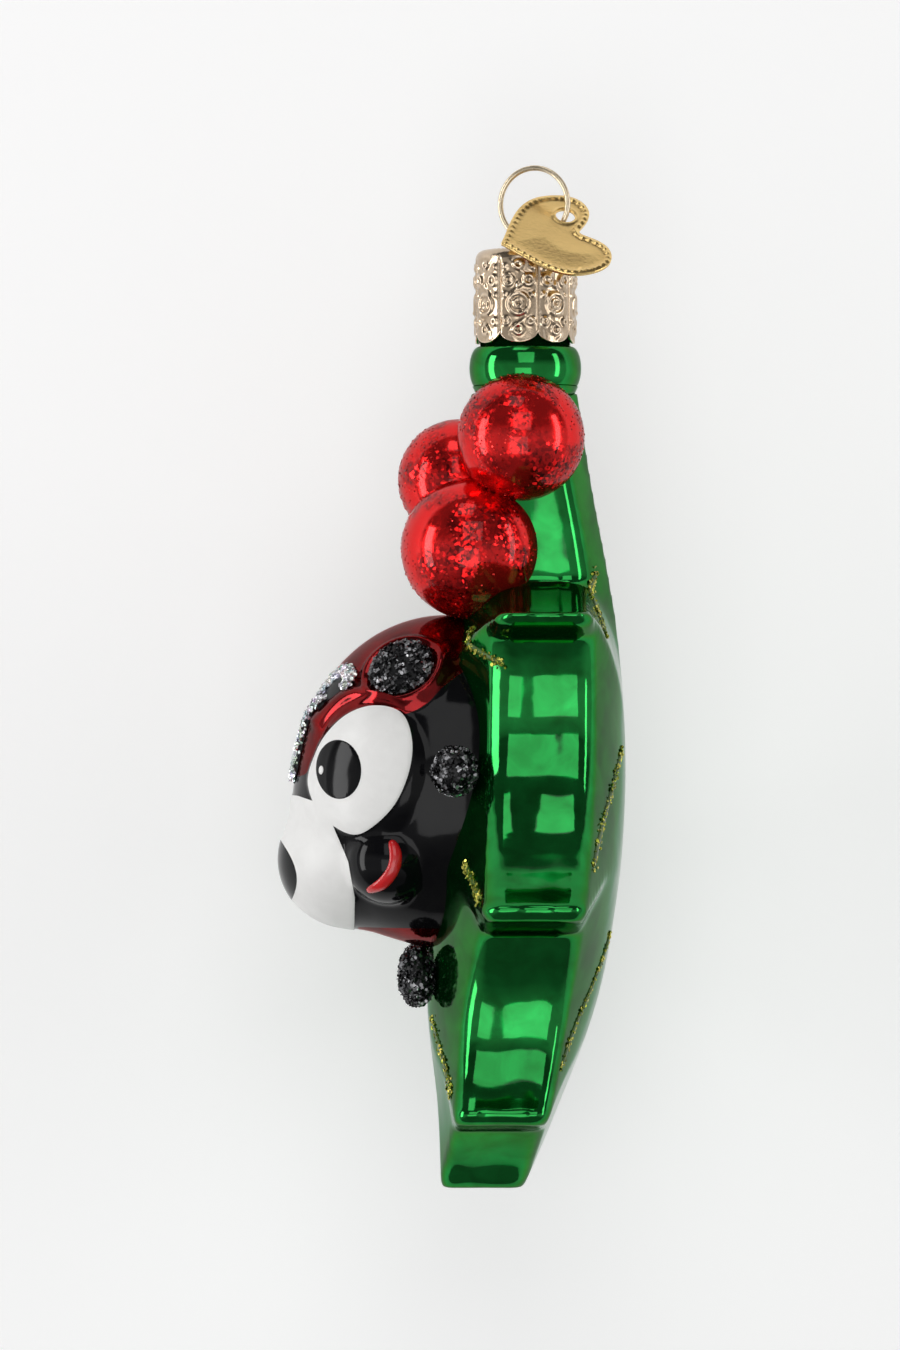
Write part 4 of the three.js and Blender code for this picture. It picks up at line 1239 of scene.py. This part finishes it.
def make_hanger():
    """A round wire: two legs out to the neck's bore, and the loop that joins them."""
    top = cap_high[2]

    def at(across, z):
        return LEG_WAY * across + (0, 0, z)

    reach = NECK_BORE - WIRE / 2 - FOOT_GAP
    feet = [at(s * reach, top - LEG_DEPTH) + (0, CAP_Y, 0) for s in (-1, 1)]
    low, high = top - LEG_UNDER, top + LEG_OVER
    left, right = ([at(s * LEG_SPREAD / 2, z) for z in (low, high)] for s in (-1, 1))
    end = math.pi - math.asin(LEG_SPREAD / 2 / LOOP_RADIUS)
    loop = [
        at(LOOP_RADIUS * math.sin(angle), LOOP_CENTRE_Z + LOOP_RADIUS * math.cos(angle))
        for angle in np.linspace(-end, end, LOOP_STOPS)
    ]
    path = soft_loop([feet[0], *left, *loop, *reversed(right), feet[1]], 5, closed=False)
    out = np.cross(LEG_WAY, (0, 0, 1))
    turn = np.linspace(0, 2 * math.pi, WIRE_SIDES, endpoint=False)[:, None]
    rings = []
    for place, way in zip(path, unit(np.gradient(path, axis=0))):
        sideways = unit(np.cross(way, out))
        facing = np.cross(sideways, way)
        rings.append(place + WIRE / 2 * (np.cos(turn) * sideways + np.sin(turn) * facing))
    piece = new_piece("hanger_wire", *loft(rings))
    merge_doubles(piece)
    finish_piece(piece, HANGING, "wire_metal", "hanger_loop")


TAG_LENGTH, TAG_WIDTH, TAG_NOTCH = 12.0, 13.8, 2.4
TAG_SHEET = 0.35
TAG_HOLE, TAG_HOLE_AT = 2.3, (9.0, 3.1)
TAG_STEP, TAG_LINE_STEPS = 0.16, 220
TAG_LEAN, TAG_YAW, TAG_ROLL, TAG_AT = (math.radians(v) for v in (46, 10, 12, -22))
BEAD_RUN, RIM_AT, LIP_AT = 0.85, 0.45, 0.25
NOTCH_AT = 1 - TAG_NOTCH / TAG_LENGTH
# Half the heart as three curves, in shares of its length and of half its width
HEART_CURVES = np.array([
    [(0, 0), (0.16, 0.34), (0.32, 1), (0.64, 1)],
    [(0.64, 1), (0.86, 1), (1, 0.84), (1, 0.54)],
    [(1, 0.54), (1, 0.24), (NOTCH_AT, 0.1), (NOTCH_AT, 0)],
]) * (TAG_LENGTH, TAG_WIDTH / 2)


def heart_line():
    """The heart's outline in even steps, its tip at the origin and looking back along X."""
    t = np.linspace(0, 1, 40, endpoint=False)[:, None]
    u = 1 - t
    half = np.concatenate([
        a * u ** 3 + 3 * b * t * u ** 2 + 3 * c * t ** 2 * u + d * t ** 3
        for a, b, c, d in HEART_CURVES
    ])
    other = half[:0:-1] * (1, -1)
    line = np.concatenate([half, HEART_CURVES[-1, -1:], other, half[:1]])
    run = run_along(line)
    even = np.linspace(0, run[-1], TAG_LINE_STEPS, endpoint=False)
    return np.stack([np.interp(even, run, line[:, axis]) for axis in (0, 1)], axis=-1)


def tag_place():
    """The tag's place on the loop: its own X, Y and facing as rows, then where it hangs."""
    ahead = np.array([math.cos(TAG_YAW), math.sin(TAG_YAW), 0])
    facing = ahead * math.cos(TAG_LEAN) + (0, 0, math.sin(TAG_LEAN))
    level = np.array([-math.sin(TAG_YAW), math.cos(TAG_YAW), 0])
    up = np.cross(facing, level)
    c, s = math.cos(TAG_ROLL), math.sin(TAG_ROLL)
    seat = LEG_WAY * LOOP_RADIUS * math.cos(TAG_AT)
    seat[2] = LOOP_CENTRE_Z + LOOP_RADIUS * math.sin(TAG_AT)
    return np.stack([level * c + up * s, up * c - level * s, facing]), seat


def tag_edges(places, outline):
    """How far places are inside the heart's outline, and outside its hole."""
    hole = np.linalg.norm(places - TAG_HOLE_AT, axis=-1) - TAG_HOLE / 2
    return inside_outline(places, outline), hole


def tag_relief(places, inside, hole, outline):
    """Height of the stamped face over its flat sheet: a rim of beads and a soft dome."""
    nearest = np.argmin(((places[:, None, :] - outline[None]) ** 2).sum(-1), axis=1)
    bead = 0.5 + 0.5 * np.cos(run_along(outline)[nearest] * 2 * math.pi / BEAD_RUN)
    lip = 0.1 * bell(hole - LIP_AT, 0.2)
    dome = 0.1 * smooth_step(0.9, 4.5, inside)
    return bell(inside - RIM_AT, 0.3) * (0.1 + 0.1 * bead) + lip + dome


def make_tag():
    """A stamped heart: a domed bare face inside a raised rim of small beads, with a rolled hole."""
    outline = heart_line()
    xs = np.arange(-0.2, TAG_LENGTH + 0.3, TAG_STEP)
    ys = np.arange(-TAG_WIDTH / 2 - 0.2, TAG_WIDTH / 2 + 0.3, TAG_STEP)
    places = np.stack(np.meshgrid(xs, ys, indexing="ij"), axis=-1).reshape(-1, 2)
    across = len(ys)
    a = (np.arange(len(xs) - 1)[:, None] * across + np.arange(across - 1)).ravel()
    tris = np.stack([a, a + across, a + across + 1, a, a + across + 1, a + 1], axis=1).reshape(-1, 3)
    (places, tris), _ = divided(places, tris, np.minimum(*tag_edges(places, outline)))
    inside, hole = (np.maximum(edge, 0) for edge in tag_edges(places, outline))
    top = tag_relief(places, inside, hole, outline)
    under = 0.5 * (top - top.min()) * smooth_step(0.3, 1.2, inside)
    local = np.concatenate([
        np.column_stack([places, top + TAG_SHEET / 2]),
        np.column_stack([places, under - TAG_SHEET / 2]),
    ])
    faces, _ = sheet_faces(tris, len(places))
    turned, seat = tag_place()
    piece = new_piece("heart_tag_metal", (local - (*TAG_HOLE_AT, 0)) @ turned + seat, faces)
    finish_piece(piece, TAG, "tag_metal", "heart_tag")


# Camera, backdrop and light

CAMERA_LENS, SENSOR = 200.0, 36.0
VIEW_HEIGHT = 155.25
VIEW_CENTRE = (-9.66, -58.0)
BACKDROP_X, BACKDROP_HALF = -38.0, 2600.0
CARD_SHADE, CARD_GLOW = 0.88, 0.22
# The world's shades from straight below (0) to straight above (1)
WORLD_STOPS = ((0.14, 0.16), (0.32, 0.55), (0.55, 0.55), (0.66, 0.12))
LAMP_AIM = (0.0, VIEW_CENTRE[0] * MM, -0.06)
# Tall softboxes at the ladybug's front and back, windows beside the camera, a weak one above:
# place and size in metres, then about the radiance
LAMPS = {
    "front_softbox": ((0.16, -0.61, -0.02), (0.16, 0.6), 4.2),
    "back_softbox": ((0.22, 0.6, 0.05), (0.12, 0.6), 3.2),
    "camera_window": ((0.75, -0.06, -0.25), (0.46, 0.44), 1.4),
    "upper_window": ((0.7, 0.02, 0.34), (0.44, 0.46), 1.25),
    "top_softbox": ((0.3, -0.1, 0.7), (0.3, 0.3), 1.4),
}


def make_camera():
    """A long lens level with the ornament's middle, at its side."""
    data = bpy.data.cameras.new("camera")
    data.lens = CAMERA_LENS
    data.sensor_width = SENSOR
    data.sensor_fit = "AUTO"
    data.clip_end = 10
    camera = bpy.data.objects.new("camera", data)
    bpy.context.scene.collection.objects.link(camera)
    distance = VIEW_HEIGHT * CAMERA_LENS / SENSOR
    camera.location = (distance * MM, VIEW_CENTRE[0] * MM, VIEW_CENTRE[1] * MM)
    camera.rotation_euler = (math.pi / 2, 0, math.pi / 2)
    bpy.context.scene.camera = camera


def backdrop_material():
    """Matt pale card, seen from its front only, with a little light of its own."""
    material, tree, shader = new_material("pale_card")
    rays = add_node(tree, "LightPath")
    seen = add_node(tree, "Math", rays["Is Camera Ray"], rays["Is Glossy Ray"], operation="MAXIMUM")
    also = add_node(tree, "Math", seen["Value"], rays["Is Transmission Ray"], operation="MAXIMUM")
    glow = add_node(tree, "Math", also["Value"], CARD_GLOW, operation="MULTIPLY")
    fill(
        tree, shader,
        Base_Color=(CARD_SHADE, CARD_SHADE, CARD_SHADE, 1),
        Roughness=0.9,
        Specular_IOR_Level=0.1,
        Emission_Color=(1, 1, 1, 1),
        Emission_Strength=glow["Value"],
    )
    behind = add_node(tree, "NewGeometry")["Backfacing"]
    clear = add_node(tree, "BsdfTransparent")["BSDF"]
    card = add_node(tree, "MixShader", behind, shader.outputs["BSDF"], clear)["Shader"]
    fill(tree, tree.nodes["Material Output"], Surface=card)
    return material


def make_stage():
    """The pale card that the ornament is laid before."""
    half = BACKDROP_HALF
    corners = [(BACKDROP_X, y, z) for y, z in ((-half, -half), (half, -half), (half, half), (-half, half))]
    piece = new_piece("backdrop_card", corners, [(0, 1, 2, 3)])
    piece.data.materials.append(backdrop_material())


def make_world():
    """Pale round the horizon and a little below it, darker above and underneath."""
    world = bpy.data.worlds.new("studio")
    world.use_nodes = True
    bpy.context.scene.world = world
    tree = world.node_tree
    way = add_node(tree, "SeparateXYZ", Vector=add_node(tree, "TexCoord")["Generated"])
    height = add_node(tree, "MapRange", Value=way["Z"], From_Min=-1.0, From_Max=1.0)
    ramp = tree.nodes.new("ShaderNodeValToRGB")
    stops = ramp.color_ramp.elements
    while len(stops) < len(WORLD_STOPS):
        stops.new(0.5)
    for stop, (position, shade) in zip(stops, WORLD_STOPS):
        stop.position = position
        stop.color = (shade, shade, shade, 1)
    fill(tree, ramp, Fac=height["Result"])
    fill(tree, tree.nodes["Background"], Color=ramp.outputs["Color"], Strength=1.0)


def make_lamps():
    """Area lamps that look at the ornament and don't show themselves."""
    for name, (place, size, brightness) in LAMPS.items():
        data = bpy.data.lights.new(name, "AREA")
        data.shape = "RECTANGLE"
        data.size, data.size_y = size
        data.energy = brightness * 4 * size[0] * size[1]
        lamp = bpy.data.objects.new(name, data)
        bpy.context.scene.collection.objects.link(lamp)
        lamp.location = place
        way = Vector(LAMP_AIM) - Vector(place)
        lamp.rotation_euler = way.to_track_quat("-Z", "Y").to_euler()
        lamp.visible_camera = False


# Everything together


def main():
    """Makes every piece, then the camera and the studio."""
    bpy.context.scene.view_settings.view_transform = "Standard"
    leaf = make_leaf()
    skin = make_ladybug()
    make_smiles(skin)
    make_catchlights(skin)
    make_antennae(skin)
    make_glitter_pads()
    make_veins(leaf)
    make_berries()
    make_neck()
    make_cap()
    make_hanger()
    make_tag()
    make_camera()
    make_stage()
    make_world()
    make_lamps()


main()
